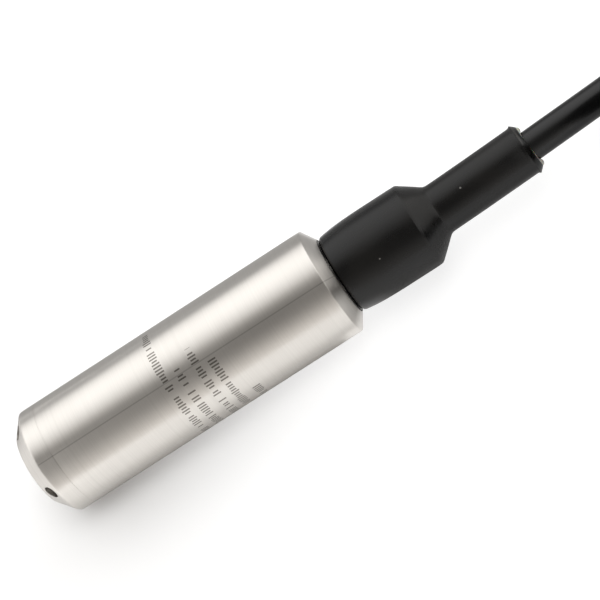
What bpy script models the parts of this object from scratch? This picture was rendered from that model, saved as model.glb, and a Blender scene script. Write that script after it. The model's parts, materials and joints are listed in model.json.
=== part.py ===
# Submersible level transmitter: a turned stainless probe with a shrunk rubber boot and a vented cable.
# It lies on its side along X, nose towards -X. The floor is z = 0. Units are metres, +Z up.
# Places along the probe are measured from the nose shoulder, where the cone meets the cylinder.

import math

import bmesh
import bpy
from mathutils import Vector

MM = 0.001

# Clearance between pieces that touch on the real probe
gap = 0.3 * MM
seam = 0.2 * MM
# How far a cutter reaches past the face that it opens
overcut = 1.0 * MM

# Housing tube
body_diameter = 26.0 * MM
body_length = 75.2 * MM
body_wall = 2.5 * MM
rear_chamfer_length = 2.3 * MM
rear_lip_step = 1.2 * MM
rear_lip_length = 9.5 * MM
rear_land = 0.1 * MM
edge_round = 0.25 * MM
body_segments = 48

# Nose cap
cone_length = 3.6 * MM
cone_drop = 4.2 * MM
cap_skirt_length = 4.0 * MM
spigot_length = 4.0 * MM
spigot_wall = 1.2 * MM
cap_wall = 1.4 * MM
chamber_chamfer = 2.4 * MM
port_count = 4
port_diameter = 3.4 * MM
port_setback = 1.68 * MM
port_turn = math.radians(64.0)

# Sensor capsule, from the front of its stack to the back
retainer_length = 3.0 * MM
retainer_width = 2.7 * MM
retainer_slot_width = 1.8 * MM
retainer_slot_depth = 1.2 * MM
capsule_length = 11.0 * MM
capsule_rim = 1.4 * MM
capsule_recess_depth = 1.8 * MM
capsule_floor = 1.4 * MM
capsule_pocket_diameter = 10.6 * MM
oil_hole_diameter = 2.0 * MM
diaphragm_thickness = 0.25 * MM
diaphragm_wave = 0.22 * MM
diaphragm_waves = 4
diaphragm_flat_share = 0.2
diaphragm_wave_share = 0.86
weld_ring_width = 1.6 * MM
weld_ring_thickness = 0.5 * MM
sensor_ring_section = 1.7 * MM
sensor_groove_place = 4.4 * MM
header_thickness = 3.0 * MM
die_width = 2.6 * MM
die_thickness = 0.6 * MM
pin_count = 4
pin_diameter = 0.7 * MM
pin_circle_diameter = 6.4 * MM
pin_length = 8.0 * MM
pin_inset = 0.4 * MM
wire_bend = 1.5 * MM
capillary_diameter = 1.2 * MM
capillary_socket_depth = 1.2 * MM

# Electronics cartridge
sleeve_wall = 0.9 * MM
cartridge_ring_thickness = 2.5 * MM
cartridge_ring_width = 2.2 * MM
front_ring_setback = 5.0 * MM
rear_ring_setback = 5.0 * MM
board_setback = 5.0 * MM
board_rear_room = 5.7 * MM
board_edge_room = 1.6 * MM
board_thickness = 1.2 * MM
wire_diameter = 0.6 * MM
pad_inset = 2.6 * MM
# Where the parts stand along the board, as shares of its length from the sensor's end
amplifier_share = 0.34
trimmer_share = 0.63
power_share = 0.5
amplifier_length = 4.9 * MM
amplifier_width = 3.9 * MM
output_chip_size = 3.0 * MM
output_chip_side = -2.6 * MM
chip_height = 1.4 * MM
chip_stand_off = 0.15 * MM
chip_edge = 0.12 * MM
chip_leg_pitch = 1.27 * MM
chip_leg_width = 0.45 * MM
chip_leg_reach = 0.9 * MM
chip_leg_height = 0.7 * MM
trimmer_size = 2.8 * MM
trimmer_edge = 0.2 * MM
zero_trimmer_side = 1.5 * MM
span_trimmer_side = 4.6 * MM
arrester_diameter = 3.2 * MM
arrester_length = 5.6 * MM
arrester_side = 3.8 * MM
can_diameter = 3.8 * MM
can_height = 3.2 * MM
can_side = -3.0 * MM
vent_under_board = 0.6 * MM
vent_joint_place = 3.0 * MM
core_pad_pitch = 3.2 * MM

# Rear plug and cable gland, all under the boot
plug_flange_length = 3.2 * MM
plug_ring_section = 1.3 * MM
plug_groove_place = 4.4 * MM
stub_diameter = 12.4 * MM
stub_length = 12.5 * MM
stub_chamfer = 0.5 * MM
ring_play = 0.1 * MM
gland_bore_diameter = 10.2 * MM
gland_bore_depth = 10.5 * MM
gasket_thickness = 0.6 * MM
seal_length = 7.2 * MM
washer_thickness = 0.8 * MM
nut_corner_diameter = 16.4 * MM
nut_across_flats = 14.3 * MM
nut_end_wall = 6.5 * MM
nut_chamfer = 0.8 * MM
clamp_length = 3.6 * MM
clamp_wall = 1.8 * MM

# Cable
cable_diameter = 7.2 * MM
core_diameter = 1.2 * MM
core_circle_diameter = 2.8 * MM
core_bore_diameter = 5.0 * MM
core_bore_depth = 5.0 * MM
vent_tube_diameter = 1.4 * MM
drain_diameter = 0.6 * MM
jacket_front_overhang = 1.0 * MM

# Boot, shrunk over the gland and the cable
boot_rim_diameter = 18.0 * MM
boot_rim_length = 0.6 * MM
boot_base_diameter = 18.9 * MM
boot_diameter = 20.0 * MM
boot_swell_length = 9.0 * MM
boot_wide_length = 20.9 * MM
boot_taper_length = 5.1 * MM
boot_neck_diameter = 11.7 * MM
boot_neck_length = 23.8 * MM
boot_mouth_diameter = 12.2 * MM
boot_soft = 0.7 * MM
glue_wall = 0.4 * MM
mouth_inset = 0.7 * MM
# The neck has taken a slight set to one side, as a first-order and a second-order lean
boot_lean = 0.008
boot_curl = 0.45

# Hank of the cable that is not in use
hank_lanes = 3
hank_layers = 10
hank_fold_radius = 3.0 * cable_diameter
hank_straight = 83.4 * MM
hank_near_end = 94.0 * MM
hank_lane_y = 8.6 * MM
tie_width = 4.8 * MM
tie_thickness = 1.0 * MM
tie_head = 3.2 * MM
tie_head_length = 8.0 * MM
tie_inset = 12.0 * MM
tie_tail_room = 0.4 * MM
tie_corner = 0.5 * MM
sleeve_to_tie = 1.0 * MM
end_lead_pitch = 2.2 * MM
tail_start_inset = 30.0 * MM
end_sleeve_diameter = 8.4 * MM
end_sleeve_length = 14.0 * MM
end_lead_diameter = 1.4 * MM
end_lead_length = 22.0 * MM
end_vent_diameter = 1.6 * MM
end_vent_length = 26.0 * MM
filter_diameter = 5.0 * MM
filter_length = 12.0 * MM

# Values that follow from the driving dimensions
body_radius = body_diameter / 2
bore_radius = body_radius - body_wall
insert_radius = bore_radius - gap
rear_bore_radius = bore_radius - rear_lip_step
nose_face_radius = body_radius - cone_drop
cable_radius = cable_diameter / 2
cable_hole_radius = cable_radius + gap
housing_start = cap_skirt_length
housing_end = body_length + rear_chamfer_length
boot_start = housing_end + gap
boot_end = boot_start + boot_wide_length + boot_taper_length + boot_neck_length
middle = (boot_end - cone_length) / 2
axis_height = body_radius * math.cos(math.pi / body_segments)

retainer_start = cap_skirt_length + spigot_length + gap
capsule_start = retainer_start + retainer_length + gap
capsule_end = capsule_start + capsule_length
lip_start = housing_end - rear_lip_length
flange_start = lip_start - gap - plug_flange_length
sleeve_start = capsule_end + gap
sleeve_end = flange_start - gap
sleeve_bore_radius = insert_radius - sleeve_wall
stub_end = housing_end + stub_length
seal_start = stub_end - gland_bore_depth + gap
seal_end = seal_start + seal_length
washer_end = seal_end + gap + washer_thickness
gasket_start = housing_end + gap
nut_start = gasket_start + gasket_thickness + gap
nut_wall_start = stub_end + gap
nut_end = nut_wall_start + nut_end_wall
gland_insert_radius = gland_bore_diameter / 2 - gap
clamp_end = flange_start - gap
clamp_start = clamp_end - clamp_length
jacket_front = clamp_start - jacket_front_overhang
jacket_back = boot_end - mouth_inset

board_start = sleeve_start + board_setback
board_end = jacket_front - board_rear_room
board_length = board_end - board_start
board_width = 2 * (sleeve_bore_radius - board_edge_room)
board_face = board_thickness / 2
board_seat = board_face + gap

# Materials: colour, roughness, metallic
FINISHES = {
    "turned_steel": ((0.62, 0.60, 0.57), 0.32, 1.0),
    "bright_steel": ((0.75, 0.75, 0.76), 0.2, 1.0),
    "brass": ((0.78, 0.58, 0.27), 0.3, 1.0),
    "black_rubber": ((0.022, 0.022, 0.023), 0.5, 0.0),
    "cable_jacket": ((0.02, 0.02, 0.021), 0.38, 0.0),
    "seal_rubber": ((0.03, 0.03, 0.03), 0.6, 0.0),
    "hot_glue": ((0.62, 0.58, 0.48), 0.35, 0.0),
    "board_green": ((0.03, 0.2, 0.09), 0.45, 0.0),
    "chip_black": ((0.03, 0.03, 0.032), 0.45, 0.0),
    "trimmer_blue": ((0.05, 0.16, 0.5), 0.4, 0.0),
    "ceramic": ((0.82, 0.8, 0.74), 0.4, 0.0),
    "header_glass": ((0.12, 0.2, 0.18), 0.15, 0.0),
    "silicon": ((0.2, 0.22, 0.26), 0.15, 0.6),
    "carrier_plastic": ((0.75, 0.74, 0.7), 0.5, 0.0),
    "red_core": ((0.55, 0.03, 0.02), 0.45, 0.0),
    "black_core": ((0.03, 0.03, 0.03), 0.45, 0.0),
    "white_core": ((0.8, 0.8, 0.78), 0.45, 0.0),
    "yellow_core": ((0.75, 0.55, 0.05), 0.45, 0.0),
    "tinned_copper": ((0.7, 0.69, 0.66), 0.35, 1.0),
    "clear_tube": ((0.75, 0.76, 0.74), 0.3, 0.0),
    "tie_nylon": ((0.04, 0.04, 0.042), 0.4, 0.0),
    "filter_white": ((0.85, 0.85, 0.83), 0.5, 0.0),
}


def clear_scene():
    for thing in list(bpy.data.objects):
        bpy.data.objects.remove(thing, do_unlink=True)


def new_collection(name):
    group = bpy.data.collections.new(name)
    bpy.context.scene.collection.children.link(group)
    return group


def finish(slot):
    material = bpy.data.materials.get(slot)
    if material is None:
        color, roughness, metallic = FINISHES[slot]
        material = bpy.data.materials.new(slot)
        material.use_nodes = True
        shader = material.node_tree.nodes["Principled BSDF"]
        shader.inputs["Base Color"].default_value = (*color, 1.0)
        shader.inputs["Roughness"].default_value = roughness
        shader.inputs["Metallic"].default_value = metallic
    return material


clear_scene()
parts = new_collection("submersible_level_transmitter")
cutters = new_collection("cutters")

probe_axis = bpy.data.objects.new("probe_axis", None)
probe_axis.location = (-middle, 0.0, axis_height)
parts.objects.link(probe_axis)


def add_object(name, data, slot):
    thing = bpy.data.objects.new(name, data)
    parts.objects.link(thing)
    if slot:
        data.materials.append(finish(slot))
    return thing


def on_axis(thing):
    """Place an object, modelled from the nose shoulder along X, on the probe."""
    thing.parent = probe_axis
    return thing


def on_floor(thing, place):
    """Place an object that belongs to the free cable, in the part's own frame."""
    thing.parent = None
    thing.location = place
    return thing


def as_cutter(thing):
    for group in list(thing.users_collection):
        group.objects.unlink(thing)
    cutters.objects.link(thing)
    thing.hide_render = True
    thing.display_type = "WIRE"
    return thing


def turned(name, outer, slot, inner=None, segments=32):
    """Turn a section about the probe's axis. Sections are (place, radius) pairs from nose to tail."""
    if inner is None:
        section = [(outer[-1][0], 0.0), *reversed(outer), (outer[0][0], 0.0)]
    else:
        section = [*reversed(outer), *inner]
    mesh = bpy.data.meshes.new(name)
    points = [(radius, 0.0, place) for place, radius in section]
    edges = [(i, i + 1) for i in range(len(points) - 1)]
    if inner is not None:
        edges.append((len(points) - 1, 0))
    mesh.from_pydata(points, edges, [])
    thing = add_object(name, mesh, slot)
    spin = thing.modifiers.new("turn", "SCREW")
    spin.axis = "Z"
    spin.angle = 2 * math.pi
    spin.steps = segments
    spin.render_steps = segments
    spin.use_merge_vertices = True
    spin.merge_threshold = 0.00001
    spin.use_smooth_shade = True
    # Half a step about its own axis puts a flat of the turned piece at the bottom, not a corner
    thing.rotation_mode = "ZYX"
    thing.rotation_euler = (0.0, math.pi / 2, math.pi / segments)
    return on_axis(thing)


def ring(name, start, end, hole_radius, outer_radius, slot, segments=28):
    """A plain washer or bush between two places on the axis."""
    outer = [(start, outer_radius), (end, outer_radius)]
    inner = [(start, hole_radius), (end, hole_radius)]
    return turned(name, outer, slot, inner, segments)


def torus(name, place, centre_radius, section_radius, slot):
    bpy.ops.mesh.primitive_torus_add(major_radius=centre_radius, minor_radius=section_radius,
                                     major_segments=28, minor_segments=6,
                                     location=(place, 0.0, 0.0), rotation=(0.0, math.pi / 2, 0.0))
    thing = bpy.context.object
    thing.name = name
    adopt(thing, slot)
    thing.data.shade_smooth()
    return on_axis(thing)


def adopt(thing, slot):
    for group in list(thing.users_collection):
        group.objects.unlink(thing)
    parts.objects.link(thing)
    thing.data.name = thing.name
    if slot:
        thing.data.materials.append(finish(slot))


def box(name, centre, size, slot, round_edge=0.0):
    bpy.ops.mesh.primitive_cube_add(size=1.0, location=centre)
    thing = bpy.context.object
    thing.name = name
    thing.scale = size
    bpy.ops.object.transform_apply(location=False, rotation=False, scale=True)
    adopt(thing, slot)
    if round_edge:
        soften = thing.modifiers.new("edge", "BEVEL")
        soften.width = round_edge
        soften.segments = 1
    return on_axis(thing)


def cylinder(name, centre, radius, length, direction, slot, segments=24):
    """A plain round bar whose length lies along direction."""
    turn = Vector(direction).to_track_quat("Z", "Y").to_euler()
    bpy.ops.mesh.primitive_cylinder_add(radius=radius, depth=length, vertices=segments,
                                        location=centre, rotation=turn)
    thing = bpy.context.object
    thing.name = name
    adopt(thing, slot)
    thing.data.shade_smooth()
    thing.data.set_sharp_from_angle(angle=math.radians(35))
    return on_axis(thing)


def boolean(thing, tool, operation="DIFFERENCE"):
    cut = thing.modifiers.new(operation.lower(), "BOOLEAN")
    cut.operation = operation
    cut.solver = "EXACT"
    cut.object = as_cutter(tool)


def smooth_route(points, count):
    """Read evenly spread points from a smooth curve through the route's own points."""
    ends = [2 * points[0] - points[1], *points, 2 * points[-1] - points[-2]]
    spans = len(points) - 1
    route = []
    for step in range(count + 1):
        place = step / count * spans
        span = min(int(place), spans - 1)
        t = place - span
        a, b, c, d = ends[span:span + 4]
        route.append(0.5 * (2 * b + (c - a) * t + (2 * a - 5 * b + 4 * c - d) * t ** 2
                            + (3 * b - a - 3 * c + d) * t ** 3))
    return route


def tube(name, points, diameter, slot, resolution=2):
    """A round cord or wire along a list of points."""
    curve = bpy.data.curves.new(name, "CURVE")
    curve.dimensions = "3D"
    curve.bevel_depth = diameter / 2
    curve.bevel_resolution = resolution
    curve.use_fill_caps = True
    spline = curve.splines.new("POLY")
    spline.points.add(len(points) - 1)
    spline.use_smooth = True
    for knot, point in zip(spline.points, points):
        knot.co = (*point, 1.0)
    return add_object(name, curve, slot)


def wire(name, route, diameter, slot, count=8):
    """A thin wire inside the probe, through a few places given from the nose shoulder."""
    points = smooth_route([Vector(place) for place in route], count)
    return on_axis(tube(name, points, diameter, slot, 1))


def outline(name, loops, depth, slot):
    """A flat plate from closed outlines. Any outline inside another is a hole."""
    curve = bpy.data.curves.new(name, "CURVE")
    curve.dimensions = "2D"
    curve.fill_mode = "BOTH"
    curve.extrude = depth / 2
    for loop in loops:
        spline = curve.splines.new("POLY")
        spline.points.add(len(loop) - 1)
        spline.use_cyclic_u = True
        for knot, (x, y) in zip(spline.points, loop):
            knot.co = (x, y, 0.0, 1.0)
    return add_object(name, curve, slot)


def solid_from(curve_object):
    """Make a curve object a mesh whose caps are joined to its sides."""
    bpy.context.view_layer.update()
    graph = bpy.context.evaluated_depsgraph_get()
    mesh = bpy.data.meshes.new_from_object(curve_object.evaluated_get(graph))
    work = bmesh.new()
    work.from_mesh(mesh)
    bmesh.ops.remove_doubles(work, verts=work.verts, dist=0.000001)
    work.to_mesh(mesh)
    work.free()
    name = curve_object.name
    matrix = curve_object.matrix_world.copy()
    bpy.data.objects.remove(curve_object, do_unlink=True)
    thing = add_object(name, mesh, None)
    thing.matrix_world = matrix
    return thing


def ease(t):
    t = min(max(t, 0.0), 1.0)
    return t * t * (3 - 2 * t)


def sway(place):
    """How far the boot and the cable in it lean to +Y at a place behind the gland nut."""
    along = max(place - boot_start, 0.0)
    settled = ease((place - nut_end) / (boot_start + boot_wide_length + boot_taper_length - nut_end))
    return settled * (boot_lean * along + boot_curl * along ** 2)


def lean(thing):
    """Apply the boot's lean to a turned piece, in its mesh, whatever its turn about the axis."""
    bpy.context.view_layer.update()
    graph = bpy.context.evaluated_depsgraph_get()
    mesh = bpy.data.meshes.new_from_object(thing.evaluated_get(graph))
    thing.modifiers.clear()
    turn = thing.rotation_euler.z
    for vertex in mesh.vertices:
        shift = sway(vertex.co.z)
        vertex.co.x += shift * math.sin(turn)
        vertex.co.y += shift * math.cos(turn)
    thing.data = mesh


def spread(start, end, count):
    return [start + (end - start) * i / count for i in range(count + 1)]


def build_housing():
    end_radius = rear_bore_radius + rear_land
    outer = [
        (housing_start, body_radius),
        (body_length - edge_round, body_radius),
        (body_length + edge_round * 0.4, body_radius - edge_round * 0.7),
        (housing_end, end_radius),
    ]
    inner = [
        (housing_start, bore_radius),
        (lip_start, bore_radius),
        (lip_start, rear_bore_radius),
        (housing_end, rear_bore_radius),
    ]
    turned("housing_tube", outer, "turned_steel", inner, body_segments)


def build_nose_cap():
    chamber_radius = insert_radius - spigot_wall
    skirt_end = cap_skirt_length - seam
    section_end = cap_skirt_length + spigot_length
    outer = [
        (-cone_length, nose_face_radius - edge_round),
        (-cone_length + edge_round, nose_face_radius + edge_round * 0.4),
        (-edge_round * 0.5, body_radius - edge_round * 0.8),
        (edge_round, body_radius),
        (skirt_end, body_radius),
        (skirt_end, insert_radius),
        (section_end, insert_radius),
    ]
    cap = turned("nose_cap", outer, "turned_steel", None, body_segments)
    chamber_front = -cone_length + cap_wall
    chamber = [
        (chamber_front, chamber_radius - chamber_chamfer),
        (chamber_front + chamber_chamfer, chamber_radius),
        (section_end + overcut, chamber_radius),
    ]
    boolean(cap, turned("chamber_cutter", chamber, None))
    slope = cone_drop / cone_length
    port_radius_out = body_radius - slope * port_setback
    drill_length = 2 * (body_radius - chamber_radius)
    for i in range(port_count):
        angle = port_turn + i * 2 * math.pi / port_count
        outward = Vector((0.0, -math.sin(angle), math.cos(angle)))
        along = (outward - Vector((slope, 0.0, 0.0))).normalized()
        mouth = Vector((-port_setback, 0.0, 0.0)) + outward * port_radius_out
        drill = cylinder(f"port_cutter_{i + 1}", mouth, port_diameter / 2, drill_length, along, None, 20)
        boolean(cap, drill)


def build_sensor():
    retainer = ring("retaining_ring", retainer_start, retainer_start + retainer_length,
                    insert_radius - retainer_width, insert_radius, "bright_steel")
    slot_size = (2 * retainer_slot_depth, 3 * insert_radius, retainer_slot_width)
    boolean(retainer, box("retainer_slot_cutter", (retainer_start, 0.0, 0.0), slot_size, None))

    recess_radius = insert_radius - capsule_rim
    pocket_radius = capsule_pocket_diameter / 2
    groove_start = capsule_start + sensor_groove_place
    groove_end = groove_start + sensor_ring_section + 2 * gap
    groove_radius = insert_radius - sensor_ring_section - gap
    floor_front = capsule_start + capsule_recess_depth
    floor_back = floor_front + capsule_floor
    outer = [
        (capsule_start, insert_radius), (groove_start, insert_radius), (groove_start, groove_radius),
        (groove_end, groove_radius), (groove_end, insert_radius), (capsule_end, insert_radius),
    ]
    inner = [
        (capsule_start, recess_radius), (floor_front, recess_radius), (floor_front, oil_hole_diameter / 2),
        (floor_back, oil_hole_diameter / 2), (floor_back, pocket_radius), (capsule_end, pocket_radius),
    ]
    turned("sensor_body", outer, "bright_steel", inner)
    torus("sensor_o_ring", (groove_start + groove_end) / 2, groove_radius + gap + sensor_ring_section / 2,
          sensor_ring_section / 2, "seal_rubber")

    disc_radius = recess_radius - gap
    steps = 2 * diaphragm_waves + 1
    front = floor_front - gap - diaphragm_wave - diaphragm_thickness
    wave = []
    wave_start = disc_radius * diaphragm_flat_share
    wave_end = disc_radius * diaphragm_wave_share
    for radius in spread(wave_start, wave_end, steps):
        phase = (radius - wave_start) / (wave_end - wave_start) * diaphragm_waves * 2 * math.pi
        wave.append((diaphragm_wave * math.sin(phase), radius))
    face = [(front, 0.0), *[(front + lift, radius) for lift, radius in wave], (front, disc_radius)]
    back = [(place + diaphragm_thickness, radius) for place, radius in reversed(face)]
    turned("diaphragm", face[1:] + back[:-1], "bright_steel")
    ring_end = front - gap
    ring("diaphragm_weld_ring", ring_end - weld_ring_thickness, ring_end, disc_radius - weld_ring_width,
         disc_radius, "bright_steel")

    die_start = floor_back + gap
    header_start = die_start + die_thickness + gap
    header_end = header_start + header_thickness
    header = turned("sensor_header", [(header_start, pocket_radius - gap), (header_end, pocket_radius - gap)],
                    "header_glass", None, 24)
    die_size = (die_thickness, die_width, die_width)
    box("silicon_die", (die_start + die_thickness / 2, 0.0, 0.0), die_size, "silicon")
    pin_start = header_start + pin_inset
    wire_colours = ("red", "white", "yellow", "black")
    for i in range(pin_count):
        angle = (i + 0.5) * 2 * math.pi / pin_count
        y = math.cos(angle) * pin_circle_diameter / 2
        z = math.sin(angle) * pin_circle_diameter / 2
        middle_of_pin = (pin_start + pin_length / 2, y, z)
        hole = cylinder(f"pin_hole_cutter_{i + 1}", (header_start + header_thickness / 2, y, z),
                        pin_diameter / 2 + gap, 2 * header_thickness, (1, 0, 0), None, 8)
        boolean(header, hole)
        cylinder(f"sensor_pin_{i + 1}", middle_of_pin, pin_diameter / 2, pin_length, (1, 0, 0),
                 "tinned_copper", 8)
        side = math.copysign(1.0, z)
        lie = side * (board_seat + wire_diameter / 2)
        first = pin_start + pin_length + gap
        over_edge = (z + lie + side * wire_diameter) / 2
        route = [(first, y, z), (first + wire_bend, y, z), (board_start, y, over_edge),
                 (board_start + pad_inset / 2, y, lie), (board_start + pad_inset, y, lie)]
        wire(f"sensor_wire_{i + 1}", route, wire_diameter, f"{wire_colours[i]}_core")
    socket = cylinder("capillary_cutter", (header_end, 0.0, 0.0), capillary_diameter / 2 + gap,
                      2 * capillary_socket_depth, (1, 0, 0), None, 10)
    boolean(header, socket)
    return header_end - capillary_socket_depth + gap


def build_cartridge(capillary_start):
    ring("spacer_sleeve", sleeve_start, sleeve_end, sleeve_bore_radius, insert_radius, "bright_steel")
    slot_size = (4 * cartridge_ring_thickness, board_width + 2 * gap, board_thickness + 2 * gap)
    starts = {
        "front_board_ring": board_start + front_ring_setback,
        "rear_board_ring": board_end - rear_ring_setback - cartridge_ring_thickness,
    }
    holder_radius = sleeve_bore_radius - gap
    for name, start in starts.items():
        holder = ring(name, start, start + cartridge_ring_thickness, holder_radius - cartridge_ring_width,
                      holder_radius, "carrier_plastic")
        centre = (start + cartridge_ring_thickness / 2, 0.0, 0.0)
        boolean(holder, box(f"{name}_slot_cutter", centre, slot_size, None))
    board_size = (board_length, board_width, board_thickness)
    box("circuit_board", ((board_start + board_end) / 2, 0.0, 0.0), board_size, "board_green")

    trimmer_place = board_start + trimmer_share * board_length
    power_place = board_start + power_share * board_length
    chip("amplifier_chip", board_start + amplifier_share * board_length, 0.0, amplifier_length, amplifier_width)
    chip("output_chip", trimmer_place, output_chip_side, output_chip_size, output_chip_size)
    trimmer_height = trimmer_size / 2
    trimmer = (trimmer_size, trimmer_size, trimmer_height)
    for name, y in (("zero_trimmer", zero_trimmer_side), ("span_trimmer", span_trimmer_side)):
        box(name, (trimmer_place, y, board_seat + trimmer_height / 2), trimmer, "trimmer_blue", trimmer_edge)
    cylinder("surge_arrester", (power_place, arrester_side, -board_seat - arrester_diameter / 2),
             arrester_diameter / 2, arrester_length, (1, 0, 0), "ceramic", 20)
    cylinder("supply_capacitor", (power_place, can_side, -board_seat - can_height / 2),
             can_diameter / 2, can_height, (0, 0, 1), "bright_steel", 20)

    vent_drop = board_seat + vent_tube_diameter / 2 + vent_under_board
    joint = board_start + vent_joint_place
    wire("vent_capillary", [(capillary_start, 0, 0), (capillary_start + 2 * wire_bend, 0, 0),
                            (board_start - board_setback / 2, 0, -vent_drop * 0.75), (joint, 0, -vent_drop)],
         capillary_diameter, "bright_steel", 12)
    circle = core_circle_diameter / 2
    inside = jacket_front + core_bore_depth - gap
    room = jacket_front - board_end
    wire("vent_tube", [(joint + gap, 0, -vent_drop), (board_end, 0, -vent_drop),
                       (jacket_front - room / 3, 0, -circle), (inside, 0, -circle)],
         vent_tube_diameter, "clear_tube", 14)
    lie = board_seat + core_diameter / 2
    pad = board_end - pad_inset
    for name, y, pad_y, z in (("red", 0.0, 0.0, circle), ("black", circle, core_pad_pitch, 0.0),
                              ("white", -circle, -core_pad_pitch, 0.0)):
        route = [(inside, y, z), (jacket_front - room / 10, y, z),
                 (board_end + room / 4, pad_y * 0.8, lie * 0.9),
                 (board_end - pad_inset / 3, pad_y, lie), (pad, pad_y, lie)]
        wire(f"cable_core_{name}", route, core_diameter, f"{name}_core", 10)
    drain = [(inside, 0, 0), ((inside + board_end) / 2, 0, 0), (board_end + gap, 0, 0)]
    wire("shield_drain_wire", drain, drain_diameter, "tinned_copper", 2)


def chip(name, place, y, length, width):
    """A small outline package: a body with a row of bent legs on each side."""
    count = int(length / chip_leg_pitch)
    size = (length, width, chip_height)
    body = box(name, (place, y, board_seat + chip_stand_off + chip_height / 2), size, "chip_black", chip_edge)
    leg_size = (chip_leg_width, width + 2 * chip_leg_reach, chip_leg_height)
    for i in range(count):
        x = place + (i - (count - 1) / 2) * chip_leg_pitch
        leg = box(f"{name}_leg_{i + 1}", (x, y, board_seat + chip_leg_height / 2), leg_size, None)
        boolean(body, leg, "UNION")


def build_gland():
    plug_radius = rear_bore_radius - gap
    groove_start = lip_start + plug_groove_place
    groove_end = groove_start + plug_ring_section + 2 * gap
    groove_radius = plug_radius - plug_ring_section
    stub_radius = stub_diameter / 2
    outer = [
        (flange_start, insert_radius), (lip_start - gap, insert_radius), (lip_start - gap, plug_radius),
        (groove_start, plug_radius), (groove_start, groove_radius), (groove_end, groove_radius),
        (groove_end, plug_radius), (housing_end, plug_radius), (housing_end, stub_radius),
        (stub_end - stub_chamfer, stub_radius), (stub_end, stub_radius - stub_chamfer),
    ]
    gland_floor = stub_end - gland_bore_depth
    inner = [
        (flange_start, cable_hole_radius), (gland_floor, cable_hole_radius),
        (gland_floor, gland_bore_diameter / 2), (stub_end, gland_bore_diameter / 2),
    ]
    turned("rear_plug", outer, "turned_steel", inner)
    section_radius = plug_ring_section / 2 - ring_play
    torus("rear_plug_o_ring", (groove_start + groove_end) / 2, groove_radius + gap + section_radius,
          section_radius, "seal_rubber")
    nut_bore_radius = stub_radius + gap
    ring("gland_gasket", gasket_start, gasket_start + gasket_thickness, nut_bore_radius, nut_across_flats / 2,
         "seal_rubber")
    ring("gland_seal", seal_start, seal_end, cable_hole_radius, gland_insert_radius, "seal_rubber")
    ring("gland_washer", seal_end + gap, washer_end, cable_hole_radius, gland_insert_radius, "bright_steel")

    corner = nut_corner_diameter / 2
    outer = [
        (nut_start, corner - nut_chamfer), (nut_start + nut_chamfer, corner),
        (nut_end - nut_chamfer, corner), (nut_end, corner - nut_chamfer),
    ]
    push_start = washer_end + gap
    inner = [
        (nut_start, nut_bore_radius), (nut_wall_start, nut_bore_radius), (nut_wall_start, gland_insert_radius),
        (push_start, gland_insert_radius), (push_start, cable_hole_radius), (nut_end, cable_hole_radius),
    ]
    nut = turned("gland_nut", outer, "brass", inner)
    hexagon = cylinder("nut_hexagon_cutter", ((nut_start + nut_end) / 2, 0, 0),
                       nut_across_flats / math.sqrt(3), 2 * (nut_end - nut_start), (1, 0, 0), None, 6)
    boolean(nut, hexagon, "INTERSECT")
    ring("cable_clamp", clamp_start, clamp_end, cable_hole_radius, cable_hole_radius + clamp_wall, "brass")


def build_cable_end():
    """The jacket that the gland and the boot hold, with the blind bore that its cores leave."""
    places = [jacket_front, clamp_start, nut_start, *spread(nut_end, jacket_back, 8)]
    outer = [(place, cable_radius) for place in places]
    bore = core_bore_diameter / 2
    rod = turned("cable_in_probe", outer, "cable_jacket", None, 16)
    lean(rod)
    hollow = cylinder("core_bore_cutter", (jacket_front, 0.0, 0.0), bore, 2 * core_bore_depth,
                      (1, 0, 0), None)
    boolean(rod, hollow)


def build_boot():
    wide_end = boot_start + boot_wide_length
    neck_start = wide_end + boot_taper_length
    boot_radius = boot_diameter / 2
    neck_radius = boot_neck_diameter / 2
    mouth_radius = boot_mouth_diameter / 2
    base_radius = boot_base_diameter / 2
    lip = boot_start + boot_rim_length
    outer = [
        (boot_start, boot_rim_diameter / 2),
        (lip, boot_rim_diameter / 2),
        (lip + 0.15 * boot_soft, base_radius - 0.2 * boot_soft),
        (lip + 0.6 * boot_soft, base_radius),
        (boot_start + boot_swell_length / 2, base_radius + 0.75 * (boot_radius - base_radius)),
        (boot_start + boot_swell_length, boot_radius),
        (wide_end - boot_soft, boot_radius),
        (wide_end, boot_radius - 0.35 * boot_soft),
        (wide_end + boot_soft, boot_radius - 1.1 * boot_soft),
        (neck_start - boot_soft, neck_radius + 0.65 * boot_soft),
        (neck_start, neck_radius + 0.15 * boot_soft),
        (neck_start + boot_soft, neck_radius),
        *[(place, neck_radius) for place in spread(neck_start + 6 * boot_soft, boot_end - 3 * boot_soft, 2)],
        (boot_end - 0.7 * boot_soft, mouth_radius - 0.15 * boot_soft),
        (boot_end, mouth_radius),
    ]
    nut_clearance_radius = nut_corner_diameter / 2 + gap
    sock_radius = cable_hole_radius + glue_wall + gap
    taper_in = nut_end + gap
    inner = [
        (boot_start, nut_clearance_radius),
        (taper_in, nut_clearance_radius),
        (taper_in + 0.45 * boot_taper_length, nut_clearance_radius - 2 * boot_soft),
        (neck_start, sock_radius),
        *[(place, sock_radius) for place in spread(neck_start + 6 * boot_soft, boot_end, 3)],
    ]
    lean(turned("boot", outer, "black_rubber", inner, 40))
    glue_places = spread(neck_start + 2 * boot_soft, boot_end - gap, 4)
    glue_outer = [(place, sock_radius - gap) for place in glue_places]
    glue_inner = [(place, cable_hole_radius) for place in glue_places]
    lean(turned("boot_glue", glue_outer, "hot_glue", glue_inner, 24))


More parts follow.
